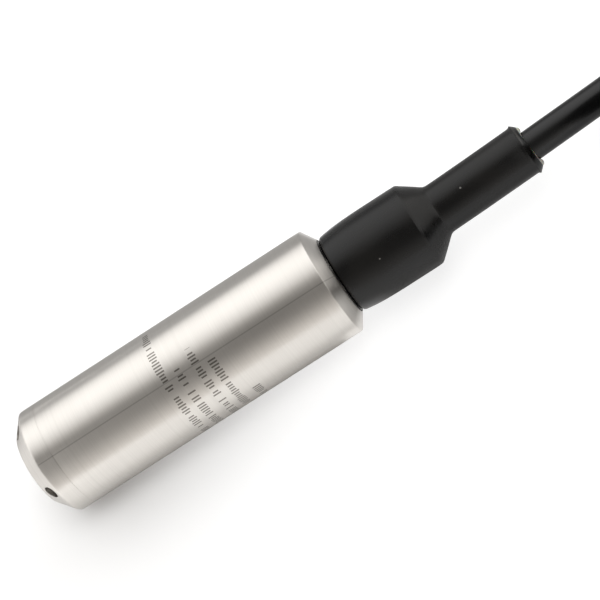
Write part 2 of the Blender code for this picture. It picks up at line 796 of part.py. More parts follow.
# The free cable. Its route stays as chosen by hand, in millimetres from the origin.
run_route = [
    (65.2, 1.41, 12.98),
    (68.0, 1.58, 12.95),
    (72.0, 1.95, 12.7),
    (77.0, 2.65, 12.0),
    (82.5, 3.75, 10.75),
    (88.0, 5.05, 9.2),
    (94.0, 6.45, 7.5),
    (100.0, 7.6, 6.05),
    (105.5, 8.25, 5.3),
    (110.3, 8.5, 5.0),
]


def stadium(radius, near_x, far_x, centre_y, arc_steps=14):
    """An outline with round ends."""
    loop = []
    for i in range(arc_steps + 1):
        angle = math.pi / 2 - math.pi * i / arc_steps
        loop.append((far_x + radius * math.cos(angle), centre_y + radius * math.sin(angle)))
    for i in range(arc_steps + 1):
        angle = -math.pi / 2 - math.pi * i / arc_steps
        loop.append((near_x + radius * math.cos(angle), centre_y + radius * math.sin(angle)))
    return loop


def rounded_frame(width, height, radius, steps=3):
    """A rectangle with rounded corners about the origin."""
    loop = []
    corners = ((1, 1, 0), (-1, 1, 1), (-1, -1, 2), (1, -1, 3))
    for side_x, side_y, quarter in corners:
        for i in range(steps + 1):
            angle = (quarter + i / steps) * math.pi / 2
            loop.append((side_x * (width / 2 - radius) + radius * math.cos(angle),
                         side_y * (height / 2 - radius) + radius * math.sin(angle)))
    return loop


def build_free_cable():
    points = [Vector(place) * MM for place in run_route]
    tube("cable_run", smooth_route(points, 12), cable_diameter, "cable_jacket", 3)

    outer_lane = hank_fold_radius + (hank_lanes - 1) * cable_diameter
    outer_radius = outer_lane + cable_radius
    hole_radius = hank_fold_radius - cable_radius
    near_x = hank_near_end + outer_radius
    far_x = near_x + hank_straight
    centre_y = hank_lane_y - outer_lane
    bottom = tie_thickness + gap
    full_height = hank_layers * cable_diameter
    low_height = full_height - cable_diameter
    round_end = stadium(outer_radius, near_x, far_x, centre_y)
    low = outline("cable_hank", [round_end, stadium(hole_radius, near_x, far_x, centre_y)], low_height,
                  "cable_jacket")
    low.location = (0.0, 0.0, bottom + low_height / 2)
    hank = solid_from(low)
    ledge_hole = stadium(hole_radius + cable_diameter, near_x, far_x, centre_y)
    top = outline("hank_top_cutter", [round_end, ledge_hole], 2 * cable_diameter, None)
    top.location = (0.0, 0.0, bottom + full_height - cable_diameter)
    boolean(hank, solid_from(top), "UNION")
    ledge_height = bottom + low_height

    for number, place in enumerate((near_x + tie_inset, far_x - tie_inset), start=1):
        strap_height = full_height + 2 * gap + tie_tail_room
        inside = rounded_frame(2 * (outer_radius + gap), strap_height, tie_corner)
        outside = rounded_frame(2 * (outer_radius + gap + tie_thickness), strap_height + 2 * tie_thickness,
                                tie_corner + tie_thickness)
        strap = outline(f"hank_tie_{number}", [outside, inside], tie_width, "tie_nylon")
        strap.rotation_euler = (math.pi / 2, 0.0, math.pi / 2)
        strap.location = (place, centre_y, tie_thickness + strap_height / 2)
        strap_body = solid_from(strap)
        strap_top = tie_thickness + strap_height
        head = box(f"tie_head_cutter_{number}", (0.0, 0.0, 0.0), (tie_width, tie_head_length, tie_head), None)
        on_floor(head, (place, centre_y, strap_top + tie_head / 2))
        boolean(strap_body, head, "UNION")

    # The last turn lies in the ledge that the unfinished inner lane leaves at the top of the hank. It ends
    # in a sleeve, and its leads lie on the ledge's floor along routes that stay as chosen by hand.
    tail_lane = hank_fold_radius - gap
    tail_height = ledge_height + gap + cable_radius
    points = []
    for x in spread(far_x - tail_start_inset, far_x, 4):
        points.append(Vector((x, centre_y + tail_lane, tail_height)))
    for i in range(1, 14):
        angle = math.pi / 2 - math.pi * i / 14
        points.append(Vector((far_x + tail_lane * math.cos(angle), centre_y + tail_lane * math.sin(angle),
                              tail_height)))
    wall = hank_fold_radius + cable_radius
    sleeve_start_x = far_x - tie_inset - tie_width / 2 - sleeve_to_tie
    points.append(Vector((far_x, centre_y - tail_lane, tail_height)))
    points.append(Vector((sleeve_start_x, centre_y - tail_lane, tail_height)))
    tube("cable_tail", points, cable_diameter, "cable_jacket", 3)

    sleeve_end_x = sleeve_start_x - gap - end_sleeve_length
    sleeve_y = centre_y - (wall - gap - end_sleeve_diameter / 2)
    sleeve_z = ledge_height + gap + end_sleeve_diameter / 2
    sleeve = cylinder("cable_end_sleeve", (0, 0, 0), end_sleeve_diameter / 2, end_sleeve_length, (1, 0, 0),
                      "black_rubber", 24)
    on_floor(sleeve, (sleeve_end_x + end_sleeve_length / 2, sleeve_y, sleeve_z))

    lead_start = sleeve_end_x - gap
    floor_z = ledge_height + gap + end_lead_diameter / 2
    for name, lane in (("red", 1), ("black", 0), ("white", -1)):
        offset = lane * end_lead_pitch
        route = [
            Vector((lead_start, sleeve_y + offset * 0.75, sleeve_z - 1.2 * MM)),
            Vector((lead_start - 5 * MM, sleeve_y + offset * 0.85, sleeve_z - 1.8 * MM)),
            Vector((lead_start - 12 * MM, sleeve_y + offset, floor_z + 0.4 * MM)),
            Vector((lead_start - end_lead_length, sleeve_y + offset, floor_z)),
        ]
        tube(f"lead_{name}", smooth_route(route, 12), end_lead_diameter, f"{name}_core")
    vent_z = sleeve_z + 1.6 * MM
    filter_x = lead_start - end_vent_length
    filter_z = ledge_height + gap + filter_diameter / 2
    route = [
        Vector((lead_start, sleeve_y, vent_z)),
        Vector((lead_start - 9 * MM, sleeve_y, vent_z - 0.2 * MM)),
        Vector((lead_start - 18 * MM, sleeve_y, filter_z + 1.0 * MM)),
        Vector((filter_x, sleeve_y, filter_z)),
    ]
    tube("lead_vent_tube", smooth_route(route, 12), end_vent_diameter, "clear_tube")
    vent_filter = cylinder("vent_filter", (0, 0, 0), filter_diameter / 2, filter_length, (1, 0, 0),
                           "filter_white", 24)
    on_floor(vent_filter, (filter_x - gap - filter_length / 2, sleeve_y, filter_z))


build_housing()
build_nose_cap()
capillary_start = build_sensor()
build_cartridge(capillary_start)
build_gland()
build_cable_end()
build_boot()
build_free_cable()
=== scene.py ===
# %% [markdown]
# # A submersible level transmitter
#
# This instrument hangs on its own cable at the bottom of a tank or a well. Water comes in through four
# small ports in the steel nose and presses on a thin steel diaphragm, and the electronics in the tube
# turn that pressure into a current. The cable carries the signal, the weight of the probe, and a thin
# tube that lets air in behind the sensor.
#
# The scene dresses a imported model: the solids stay where they are, and finer pieces take the place of
# the ones that show. Loading the model comes first.

import json
import math

import bmesh
import bpy
import numpy as np
from mathutils import Matrix, Vector


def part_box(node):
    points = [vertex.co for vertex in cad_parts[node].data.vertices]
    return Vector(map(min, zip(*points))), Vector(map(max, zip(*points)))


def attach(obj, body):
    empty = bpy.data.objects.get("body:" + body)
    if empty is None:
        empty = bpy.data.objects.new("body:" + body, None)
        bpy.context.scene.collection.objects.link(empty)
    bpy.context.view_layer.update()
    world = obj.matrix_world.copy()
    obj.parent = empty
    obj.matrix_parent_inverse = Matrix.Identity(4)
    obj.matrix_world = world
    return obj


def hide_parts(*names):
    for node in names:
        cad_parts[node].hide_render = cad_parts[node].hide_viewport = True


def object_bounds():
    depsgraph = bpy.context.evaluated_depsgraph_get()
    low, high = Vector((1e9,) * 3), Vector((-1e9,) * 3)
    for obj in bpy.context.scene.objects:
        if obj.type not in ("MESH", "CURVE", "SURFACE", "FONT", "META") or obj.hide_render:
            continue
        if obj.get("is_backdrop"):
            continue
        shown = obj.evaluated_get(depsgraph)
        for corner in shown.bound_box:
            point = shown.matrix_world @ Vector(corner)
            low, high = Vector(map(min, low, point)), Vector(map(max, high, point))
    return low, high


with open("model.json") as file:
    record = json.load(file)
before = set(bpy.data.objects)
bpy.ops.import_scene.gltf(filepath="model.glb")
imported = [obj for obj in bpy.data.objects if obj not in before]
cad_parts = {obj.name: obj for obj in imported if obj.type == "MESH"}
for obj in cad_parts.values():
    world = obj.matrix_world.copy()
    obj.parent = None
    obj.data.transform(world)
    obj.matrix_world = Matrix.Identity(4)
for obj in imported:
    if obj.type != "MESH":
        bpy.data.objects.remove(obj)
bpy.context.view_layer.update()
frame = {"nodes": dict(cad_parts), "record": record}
nodes = frame["nodes"]
MM = 0.001

# %% [markdown]
# ## The camera
#
# The photograph looks down on the probe at about 57 degrees with a long lens, and rolled, so that the
# tube rises across the picture. A long lens keeps the two edges of the tube almost parallel. The place
# and the three directions below were fitted to the ends of the steel tube and the boot in the
# photograph.

# %% Camera
def in_scene(name, data):
    """A new object at the origin, linked to the scene."""
    thing = bpy.data.objects.new(name, data)
    bpy.context.scene.collection.objects.link(thing)
    return thing


camera_data = bpy.data.cameras.new("camera")
camera_data.lens = 138.0
camera_data.sensor_width = 36.0
camera_data.clip_start = 0.01
camera_data.clip_end = 20.0
camera = in_scene("camera", camera_data)
bpy.context.scene.camera = camera

camera_place = Vector((0.0712330, -0.2678004, 0.4418980))
camera_forward = Vector((-0.12966, 0.52545, -0.84089))
camera_up = Vector((0.53684, 0.75020, 0.38600))
camera_right = camera_forward.cross(camera_up).normalized()
camera_up = camera_right.cross(camera_forward).normalized()
turn = Matrix((camera_right, camera_up, -camera_forward)).transposed()
camera.matrix_world = Matrix.Translation(camera_place) @ turn.to_4x4()
print("camera looks down at", round(math.degrees(math.asin(-camera_forward.z)), 1), "degrees")

# %% [markdown]
# ## The route of the cable
#
# The cable leaves the boot level with the probe's axis, sinks to the floor, and goes on into a hank:
# that is how ten metres of cable are stored for the shelf. A hank is an oval of turns. This one has
# three lanes side by side and ten layers, wound as a real one is: up the outer lane, down the middle
# one, up the inner one. A turn climbs or sinks on a round end and changes lane on a straight, so no two
# strands ever cross in one place.

# %% Route of the cable
cable_diameter = 7.2
boot_exit = (65.2, 1.41, 12.98)
run_route = [
    boot_exit, (68.0, 1.58, 12.95), (72.0, 1.95, 12.7), (77.0, 2.65, 12.0), (82.5, 3.75, 10.75),
    (88.0, 5.05, 9.2), (94.0, 6.45, 7.5), (100.0, 7.6, 6.05), (105.5, 8.25, 5.3), (112.0, 8.55, 4.95),
    (120.0, 8.6, 4.9), (127.0, 8.6, 4.9),
]
inner = 3 * cable_diameter
middle, outer = inner + cable_diameter, inner + 2 * cable_diameter
hank_near_x = 133.6
hank_straight = 83.4
hank_far_x = hank_near_x + hank_straight
hank_middle_y = run_route[-1][1] - outer
first_layer_z = run_route[-1][2]
layers = 10


def ease(t):
    """A smooth step from 0 to 1."""
    t = min(max(t, 0.0), 1.0)
    return t * t * (3 - 2 * t)


def smooth_through(points, steps):
    """Points of a smooth curve through a few given places, in millimetres."""
    given = [Vector(p) for p in points]
    ends = [2 * given[0] - given[1], *given, 2 * given[-1] - given[-2]]
    route = []
    for span in range(len(given) - 1):
        a, b, c, d = ends[span:span + 4]
        for step in range(steps):
            t = step / steps
            route.append(0.5 * (2 * b + (c - a) * t + (2 * a - 5 * b + 4 * c - d) * t ** 2
                                + (3 * b - a - 3 * c + d) * t ** 3))
    return [*route, given[-1]]


def straight(side, lane, z, lane_to=None, steps=8):
    """One straight of the hank. It may change lane between 15% and 85% of its way."""
    lane_to = lane_to or lane
    points = []
    for i in range(steps):
        t = i / steps
        x = hank_near_x + t * hank_straight if side > 0 else hank_far_x - t * hank_straight
        radius = lane + (lane_to - lane) * ease((t - 0.15) / 0.7)
        points.append(Vector((x, hank_middle_y + side * radius, z)))
    return points


def fold(side, lane, z_from, z_to=None, steps=16):
    """One round end of the hank: from +Y to -Y at the far end (side 1), back at the near end (-1)."""
    z_to = z_to or z_from
    points = []
    centre = hank_far_x if side > 0 else hank_near_x
    for i in range(steps):
        t = i / steps
        angle = side * math.pi / 2 - math.pi * t
        z = z_from + (z_to - z_from) * ease(t)
        y = hank_middle_y + lane * math.sin(angle)
        points.append(Vector((centre + lane * math.cos(angle), y, z)))
    return points


def layer(number):
    """The height of a layer's middle line."""
    return first_layer_z + number * cable_diameter


print("lanes of the hank:", [round(lane, 1) for lane in (inner, middle, outer)], "mm from its middle")

# %% [markdown]
# ## Winding the hank
#
# The run from the boot meets the hank on its outer lane. From there the route is put together from
# straights and round ends, lane by lane. The last points lead the tail from the top layer into its
# sleeve.

# %% Winding
route = smooth_through(run_route, 4)
top = layers - 1
for k in range(top):
    route += straight(1, outer, layer(k)) + fold(1, outer, layer(k))
    route += straight(-1, outer, layer(k)) + fold(-1, outer, layer(k), layer(k + 1))
route += straight(1, outer, layer(top)) + fold(1, outer, layer(top))
route += straight(-1, outer, layer(top), middle, 12)
for k in range(top, 0, -1):
    route += fold(-1, middle, layer(k)) + straight(1, middle, layer(k))
    route += fold(1, middle, layer(k), layer(k - 1)) + straight(-1, middle, layer(k - 1))
route += fold(-1, middle, layer(0)) + straight(1, middle, layer(0), inner, 12)
for k in range(top):
    route += fold(1, inner, layer(k)) + straight(-1, inner, layer(k))
    route += fold(-1, inner, layer(k), layer(k + 1)) + straight(1, inner, layer(k + 1))

tail_lane = inner - 0.3
tail_z = 70.0
route += fold(1, tail_lane, tail_z)
route += [Vector((hank_far_x, hank_middle_y - tail_lane, tail_z)),
          Vector((hank_far_x - 6.8, hank_middle_y - 21.2, 70.1)),
          Vector((hank_far_x - 12.8, hank_middle_y - 20.9, 70.4)),
          Vector((hank_far_x - 16.4, hank_middle_y - 20.7, 70.6))]
route_m = [p * MM for p in route]

# %% [markdown]
# ## Helpers for node trees
#
# Most pieces here follow a rule: a section turned about an axis, or a round section swept along a route.
# Geometry Nodes suit both, because the tree is built once and each piece only gives it a line and its
# sizes. The materials are node trees too. One helper starts a group with named sockets, and another adds
# a node and fills its inputs with plain values or links.

# %% Node tree helpers
def new_group(name, tree_type, inputs, outputs):
    """A node group from labels and socket types. A number in place of a type is the socket's default."""
    group = bpy.data.node_groups.new(name, tree_type)
    for way, sockets in (("INPUT", inputs), ("OUTPUT", outputs)):
        for label, given in sockets.items():
            kind = {float: "Float", int: "Int"}.get(type(given), given)
            socket = group.interface.new_socket(label, in_out=way, socket_type=f"NodeSocket{kind}")
            if kind != given:
                socket.default_value = given
    return group, group.nodes.new("NodeGroupInput"), group.nodes.new("NodeGroupOutput")


def feed(tree, socket, value):
    """Give an input a plain value, or link an output to it."""
    if isinstance(value, bpy.types.NodeSocket):
        tree.links.new(value, socket)
    else:
        socket.default_value = value


def add_node(tree, kind, **inputs):
    """A new node with its inputs filled by name. An underscore in a name stands for a space."""
    node = tree.nodes.new(kind)
    for label, value in inputs.items():
        feed(tree, node.inputs[label.replace("_", " ")], value)
    return node


def chain(tree, *steps):
    """Link geometry from node to node. A step is a node, or (node, input name, output name)."""
    steps = [step if isinstance(step, tuple) else (step, "Geometry", "Geometry") for step in steps]
    for (giver, _, out_name), (taker, in_name, _) in zip(steps, steps[1:]):
        tree.links.new(giver.outputs[out_name], taker.inputs[in_name])


print("node helpers: new_group, feed, add_node, chain")

# %% [markdown]
# ## Helpers for finished pieces
#
# A tree works on a line of points. Its inputs are set on the modifier by the socket's identifier, which
# stays the same when a name is changed. The result is turned into a plain mesh at once, with its place
# in the mesh and its object at the origin. Then every piece says what it moves with and what it stands
# for.

# %% Piece helpers
def as_curve(name, points, closed=False):
    """A poly line from points in metres."""
    curve = bpy.data.curves.new(name, "CURVE")
    curve.dimensions = "3D"
    spline = curve.splines.new("POLY")
    spline.points.add(len(points) - 1)
    for knot, point in zip(spline.points, points):
        knot.co = (*point, 1.0)
    spline.use_cyclic_u = closed
    return in_scene(name, curve)


def run_tree(thing, tree, values):
    """Give the object the tree, keep what comes out as a plain mesh object of the same name."""
    name = thing.name
    modifier = thing.modifiers.new("shape", "NODES")
    modifier.node_group = tree
    for item in tree.interface.items_tree:
        if item.in_out == "INPUT" and item.name in values:
            modifier[item.identifier] = values[item.name]
    bpy.context.view_layer.update()
    mesh = bpy.data.meshes.new_from_object(thing.evaluated_get(bpy.context.evaluated_depsgraph_get()))
    bpy.data.objects.remove(thing, do_unlink=True)
    mesh.name = name
    return in_scene(name, mesh)


def tidy_mesh(thing, sharp_degrees=None, close=True):
    """Close open ends, point faces outwards and set which edges stay sharp."""
    work = bmesh.new()
    work.from_mesh(thing.data)
    if close:
        rims = [edge for edge in work.edges if edge.is_boundary]
        bmesh.ops.holes_fill(work, edges=rims, sides=0)
    bmesh.ops.recalc_face_normals(work, faces=work.faces)
    work.to_mesh(thing.data)
    work.free()
    thing.data.shade_smooth()
    if sharp_degrees:
        thing.data.set_sharp_from_angle(angle=math.radians(sharp_degrees))
    return thing


def finish_piece(thing, finish, *stands_for):
    """Say that a piece moves with the body and which solids it stands for, which get hidden. The finish
    argument is not used.
    """
    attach(thing, "root")
    if stands_for:
        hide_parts(*stands_for)
    print(thing.name, len(thing.data.polygons), "faces, for", ", ".join(stands_for) or "nothing")


print("piece helpers: as_curve, run_tree, tidy_mesh, finish_piece")

# %% [markdown]
# ## Patterns for the materials
#
# A finish is mostly a pattern of numbers over the surface. Each helper writes one step of it: a sum, a
# product of masks, a noise, or a soft step between two numbers.

# %% Pattern helpers
def calc(tree, kind, *values):
    """A Math node whose inputs are sockets or numbers."""
    node = tree.nodes.new("ShaderNodeMath")
    node.operation = kind
    for socket, value in zip(node.inputs, values):
        feed(tree, socket, value)
    return node.outputs[0]


def product(tree, first, *others):
    """Several masks or numbers multiplied."""
    for other in others:
        first = calc(tree, "MULTIPLY", first, other)
    return first


def xyz(tree, vector):
    """The three parts of a vector."""
    return add_node(tree, "ShaderNodeSeparateXYZ", Vector=vector).outputs[:]


def noise(tree, vector, scale, detail=2.0, roughness=0.5):
    """A soft noise round a half."""
    return add_node(tree, "ShaderNodeTexNoise", Vector=vector, Scale=scale, Detail=detail,
                    Roughness=roughness).outputs["Fac"]


def stretched(tree, vector, stretch):
    """Coordinates that scale a pattern differently along each axis."""
    return add_node(tree, "ShaderNodeMapping", Vector=vector, Scale=stretch).outputs["Vector"]


def ramp(tree, value, low, high, out_low=0.0, out_high=1.0):
    """A soft step: out_low where the value is under low, out_high where it is over high."""
    node = add_node(tree, "ShaderNodeMapRange", Value=value, From_Min=low, From_Max=high, To_Min=out_low,
                    To_Max=out_high)
    node.interpolation_type = "SMOOTHSTEP"
    return node.outputs["Result"]


print("pattern helpers: calc, product, xyz, noise, stretched, ramp")

# %% [markdown]
# ## Shared effects for the materials
#
# Three effects come back in several materials, so each is a node group that is built once: fine lines
# that run round a turned piece, a soft cloudy variation, and small specks of dust. A group gives out
# only numbers. The shader, and every constant that belongs to it, stays in the material itself.

# %% Shader groups
turning, turning_in, turning_out = new_group(
    "turning_lines", "ShaderNodeTree", {"Vector": "Vector"}, {"Fine": "Float", "Broad": "Float"})
along = stretched(turning, turning_in.outputs["Vector"], (9000.0, 6.0, 6.0))
broad = stretched(turning, turning_in.outputs["Vector"], (900.0, 3.0, 3.0))
turning.links.new(noise(turning, along, 1.0, 3.0, 0.65), turning_out.inputs["Fine"])
turning.links.new(noise(turning, broad, 1.0, 2.0), turning_out.inputs["Broad"])

clouds, clouds_in, clouds_out = new_group(
    "soft_clouds", "ShaderNodeTree", {"Vector": "Vector", "Size": 0.01}, {"Value": "Float"})
per_metre = calc(clouds, "DIVIDE", 1.0, clouds_in.outputs["Size"])
cloud = noise(clouds, clouds_in.outputs["Vector"], per_metre, 4.0)
clouds.links.new(ramp(clouds, cloud, 0.3, 0.7), clouds_out.inputs["Value"])

specks, specks_in, specks_out = new_group(
    "dust_specks", "ShaderNodeTree", {"Vector": "Vector", "Spacing": 0.004, "Radius": 0.06},
    {"Mask": "Float"})
per_metre = calc(specks, "DIVIDE", 1.0, specks_in.outputs["Spacing"])
cells = add_node(specks, "ShaderNodeTexVoronoi", Vector=specks_in.outputs["Vector"], Scale=per_metre)
speck_mask = calc(specks, "LESS_THAN", cells.outputs["Distance"], specks_in.outputs["Radius"])
specks.links.new(speck_mask, specks_out.inputs["Mask"])
print("shader groups:", turning.name, clouds.name, specks.name)

# %% [markdown]
# ## Helpers for materials
#
# A material here is one Principled shader with node patterns that steer a few of its sockets. These
# helpers start a material, place a shared group in it, let a mask move the base colour between two
# colours, lay a further colour over it, and turn a height into a bump. What never changes in a finish is
# set on the shader itself.

# %% Material helpers
def new_material(name, color, roughness, metallic=0.0, **constants):
    """A Principled material whose constants sit on the shader's own sockets."""
    material = bpy.data.materials.new(name)
    material.use_nodes = True
    shader = material.node_tree.nodes["Principled BSDF"]
    constants |= {"Base Color": (*color, 1.0), "Roughness": roughness, "Metallic": metallic}
    for label, value in constants.items():
        shader.inputs[label.replace("_", " ")].default_value = value
    return material, material.node_tree, shader


def coordinates(tree, kind="Object"):
    return tree.nodes.new("ShaderNodeTexCoord").outputs[kind]


def use_group(tree, group, vector, **values):
    """Place a shared effect, fill its inputs by name and return its outputs."""
    node = tree.nodes.new("ShaderNodeGroup")
    node.node_tree = group
    for label, value in {"Vector": vector, **values}.items():
        feed(tree, node.inputs[label], value)
    return node.outputs


def mixed(tree, factor, first, second):
    """A colour between two others, each a colour or a socket. Inputs 6 and 7 are those for colours."""
    mix = tree.nodes.new("ShaderNodeMix")
    mix.data_type = "RGBA"
    for number, value in ((0, factor), (6, first), (7, second)):
        feed(tree, mix.inputs[number], (*value, 1.0) if isinstance(value, (tuple, list)) else value)
    return mix.outputs[2]


def tint(tree, shader, factor, dark, light):
    """Let a mask move the base colour between two colours."""
    tree.links.new(mixed(tree, factor, dark, light), shader.inputs["Base Color"])


def paint(tree, shader, mask, color):
    """Lay a colour over the base colour as it is so far, where the mask is 1."""
    tint(tree, shader, mask, shader.inputs["Base Color"].links[0].from_socket, color)


def bump(tree, shader, height, distance, strength=1.0):
    """Let a height in the pattern tilt the surface. Distance is the height's full size in metres."""
    node = add_node(tree, "ShaderNodeBump", Height=height, Distance=distance, Strength=strength)
    tree.links.new(node.outputs["Normal"], shader.inputs["Normal"])


print("material helpers: new_material, coordinates, use_group, mixed, tint, paint, bump")

# %% [markdown]
# ## Satin steel
#
# The tube and the nose cap are turned on a lathe and left with their fine turning lines, which run round
# the piece. They smear a reflection along the axis but leave it fairly sharp across it: that is why the
# tube shows long soft bands. The material does this with anisotropy, whose tangent runs along the axis
# and comes from the piece's own UV map. The lines themselves are a very fine noise that is stretched
# round the piece.

# %% Steel
steel_dark, steel_light = (0.56, 0.535, 0.50), (0.80, 0.77, 0.73)


def satin_steel(name):
    """Turned steel. Returns the material, its tree and its shader."""
    material, tree, shader = new_material(name, (0.66, 0.64, 0.61), 0.34, 1.0, Anisotropic=0.7)
    lines = use_group(tree, turning, coordinates(tree, "UV"))
    haze = use_group(tree, clouds, coordinates(tree), Size=0.02)
    shade = calc(tree, "MULTIPLY", lines["Fine"], 0.75)
    shade = calc(tree, "MULTIPLY_ADD", lines["Broad"], 0.25, shade)
    tint(tree, shader, shade, steel_dark, steel_light)
    rough = calc(tree, "MULTIPLY_ADD", lines["Fine"], 0.08, 0.28)
    rough = calc(tree, "MULTIPLY_ADD", haze["Value"], 0.05, rough)
    tree.links.new(rough, shader.inputs["Roughness"])
    bump(tree, shader, lines["Fine"], 0.000004, 0.5)
    grain = tree.nodes.new("ShaderNodeTangent")
    grain.direction_type = "UV_MAP"
    grain.uv_map = "UVMap"
    tree.links.new(grain.outputs["Tangent"], shader.inputs["Tangent"])
    return material, tree, shader


print("steel colours:", steel_dark, steel_light)

# %% [markdown]
# ## Laser marks on the tube
#
# A laser burns the tube's data into the steel in a few short rows. Here they are plain bars, with
# nothing to read. One group draws one row: it takes the place along the tube, compares it with the row's
# own, and cuts the way round into cells. A random number per cell decides which bars are left out and
# which are short. The tube also has one very fine dark line along its whole length, a painted reflection
# of an edge that the steel would mirror.

# %% Laser marks
bar_pitch = 0.74
short_bar, tall_bar = 0.68, 0.98
marks, marks_in, marks_out = new_group(
    "laser_row", "ShaderNodeTree", {"Vector": "Vector", "Place": 33.0, "Start": 0.0, "End": 20.0},
    {"Mask": "Float"})
row_place = marks_in.outputs["Place"]
place, way_round, _ = xyz(marks, marks_in.outputs["Vector"])
offset = calc(marks, "ABSOLUTE", calc(marks, "SUBTRACT", place, row_place))
cell = calc(marks, "DIVIDE", way_round, bar_pitch)
dice = marks.nodes.new("ShaderNodeTexWhiteNoise")
dice.noise_dimensions = "1D"
feed(marks, dice.inputs["W"], calc(marks, "ADD", calc(marks, "FLOOR", cell), row_place))
present = calc(marks, "GREATER_THAN", dice.outputs["Value"], 0.2)
bar = calc(marks, "LESS_THAN", calc(marks, "FRACT", cell), 0.5)
is_tall = calc(marks, "GREATER_THAN", dice.outputs["Value"], 0.55)
length = calc(marks, "MULTIPLY_ADD", is_tall, tall_bar - short_bar, short_bar)
inside = calc(marks, "LESS_THAN", offset, length)
begun = calc(marks, "GREATER_THAN", way_round, marks_in.outputs["Start"])
open_yet = calc(marks, "LESS_THAN", way_round, marks_in.outputs["End"])
feed(marks, marks_out.inputs["Mask"], product(marks, present, bar, inside, begun, open_yet))

# Each row: millimetres from the nose shoulder, and where it starts and ends in degrees from the top
mark_rows = [(34.2, -36.0, 118.0), (37.7, 22.0, 112.0), (42.0, 11.0, 118.0), (45.4, 32.0, 106.0),
             (49.7, 82.0, 118.0)]
# Where the painted reflection line runs round the tube, in degrees from the top
reflection_line_angle = 28.6


def marked_steel(name, shoulder, axis_height, radius):
    """Satin steel with rows of bars and one painted reflection line along the tube."""
    material, tree, shader = satin_steel(name)
    x, y, z = xyz(tree, coordinates(tree))
    place = calc(tree, "SUBTRACT", calc(tree, "MULTIPLY", x, 1000.0), shoulder)
    level = calc(tree, "SUBTRACT", z, axis_height * MM)
    angle = calc(tree, "ARCTAN2", calc(tree, "MULTIPLY", y, -1.0), level)
    way_round = calc(tree, "MULTIPLY", angle, radius)
    both = add_node(tree, "ShaderNodeCombineXYZ", X=place, Y=way_round).outputs[0]
    mask = 0.0
    for row, start, end in mark_rows:
        one = use_group(tree, marks, both, Place=row, Start=math.radians(start) * radius,
                        End=math.radians(end) * radius)["Mask"]
        mask = calc(tree, "MAXIMUM", mask, one)
    # Painted reflection: a faint dark line along the tube, at one angle round it
    from_line = calc(tree, "SUBTRACT", way_round, math.radians(reflection_line_angle) * radius)
    painted_reflection_line = ramp(tree, calc(tree, "ABSOLUTE", from_line), 0.05, 0.22, 0.3, 0.0)
    painted_reflection_line = product(tree, painted_reflection_line, calc(tree, "GREATER_THAN", place, 0.15))
    # One dark colour serves both the printed marks and the painted reflection line
    dark = calc(tree, "MAXIMUM", calc(tree, "MULTIPLY", mask, 0.8), painted_reflection_line)
    paint(tree, shader, dark, (0.10, 0.088, 0.076))
    return material


print("rows of marks:", len(mark_rows))

# %% [markdown]
# ## Black rubber
#
# The boot is a sleeve that was shrunk with heat, so its skin is satin, a little cloudy, and has a few
# dust specks. It is not pure black: a very dark grey lets the light draw the shape. Roughness varies
# softly, because that is where a black surface shows its handling. On one side of its mouth a painted
# highlight lies along the lip, a thin broken greyer line that follows the mouth, which is cut slightly
# askew.

# %% Rubber
boot_lip_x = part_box("boot")[1].x - 0.8 * MM
neck_radius = 5.9
mouth_skew = 0.6
flare_angle = math.radians(32.0)
mouth_y, mouth_z = 1.2, boot_exit[2]
mouth_side = mouth_y * MM * math.cos(flare_angle) + mouth_z * MM * math.sin(flare_angle)
rubber, tree, shader = new_material("shrunk_rubber", (0.004, 0.004, 0.004), 0.3, Specular_IOR_Level=0.34)
place = coordinates(tree)
haze = use_group(tree, clouds, place, Size=0.012)
streaks = noise(tree, stretched(tree, place, (45.0, 420.0, 420.0)), 1.0, 3.0)
dust = use_group(tree, specks, place, Spacing=0.0062, Radius=0.036)
tint(tree, shader, haze["Value"], (0.0015, 0.0015, 0.0015), (0.0048, 0.0043, 0.0037))
paint(tree, shader, dust["Mask"], (0.15, 0.145, 0.135))
x, y, z = xyz(tree, place)
# Painted highlight: a thin broken greyer line along the lip of the mouth, on one side only
side = calc(tree, "MULTIPLY_ADD", z, math.sin(flare_angle), -mouth_side)
side = calc(tree, "MULTIPLY_ADD", y, math.cos(flare_angle), side)
lip = calc(tree, "MULTIPLY_ADD", side, -mouth_skew / 2 / neck_radius, boot_lip_x + mouth_skew / 2 * MM)
from_lip = calc(tree, "ABSOLUTE", calc(tree, "SUBTRACT", x, lip))
painted_lip_highlight = product(tree, ramp(tree, from_lip, 0.00006, 0.00034, 1.0, 0.0),
               ramp(tree, noise(tree, place, 260.0), 0.3, 0.6), ramp(tree, side, -0.002, 0.003))
paint(tree, shader, painted_lip_highlight, (0.05, 0.048, 0.045))
rough = calc(tree, "MULTIPLY_ADD", haze["Value"], 0.1, 0.14)
tree.links.new(calc(tree, "MULTIPLY_ADD", streaks, 0.2, rough), shader.inputs["Roughness"])
bump(tree, shader, noise(tree, place, 900.0, 3.0), 0.00003, 0.35)
print("material:", rubber.name, "with its lip at x", round(boot_lip_x / MM, 1), "mm")

# %% [markdown]
# ## The cable's jacket
#
# The jacket is extruded polyurethane. It is smoother than the boot and a shade cooler, with the same
# soft clouds in its colour and its roughness.

# %% Jacket
jacket, tree, shader = new_material("cable_jacket", (0.004, 0.004, 0.004), 0.26, Specular_IOR_Level=0.42)
place = coordinates(tree)
haze = use_group(tree, clouds, place, Size=0.03)
tint(tree, shader, haze["Value"], (0.0016, 0.0016, 0.0018), (0.0038, 0.0038, 0.0038))
tree.links.new(calc(tree, "MULTIPLY_ADD", haze["Value"], 0.08, 0.2), shader.inputs["Roughness"])
bump(tree, shader, noise(tree, place, 1500.0, 2.0), 0.00001, 0.3)
print("material:", jacket.name)

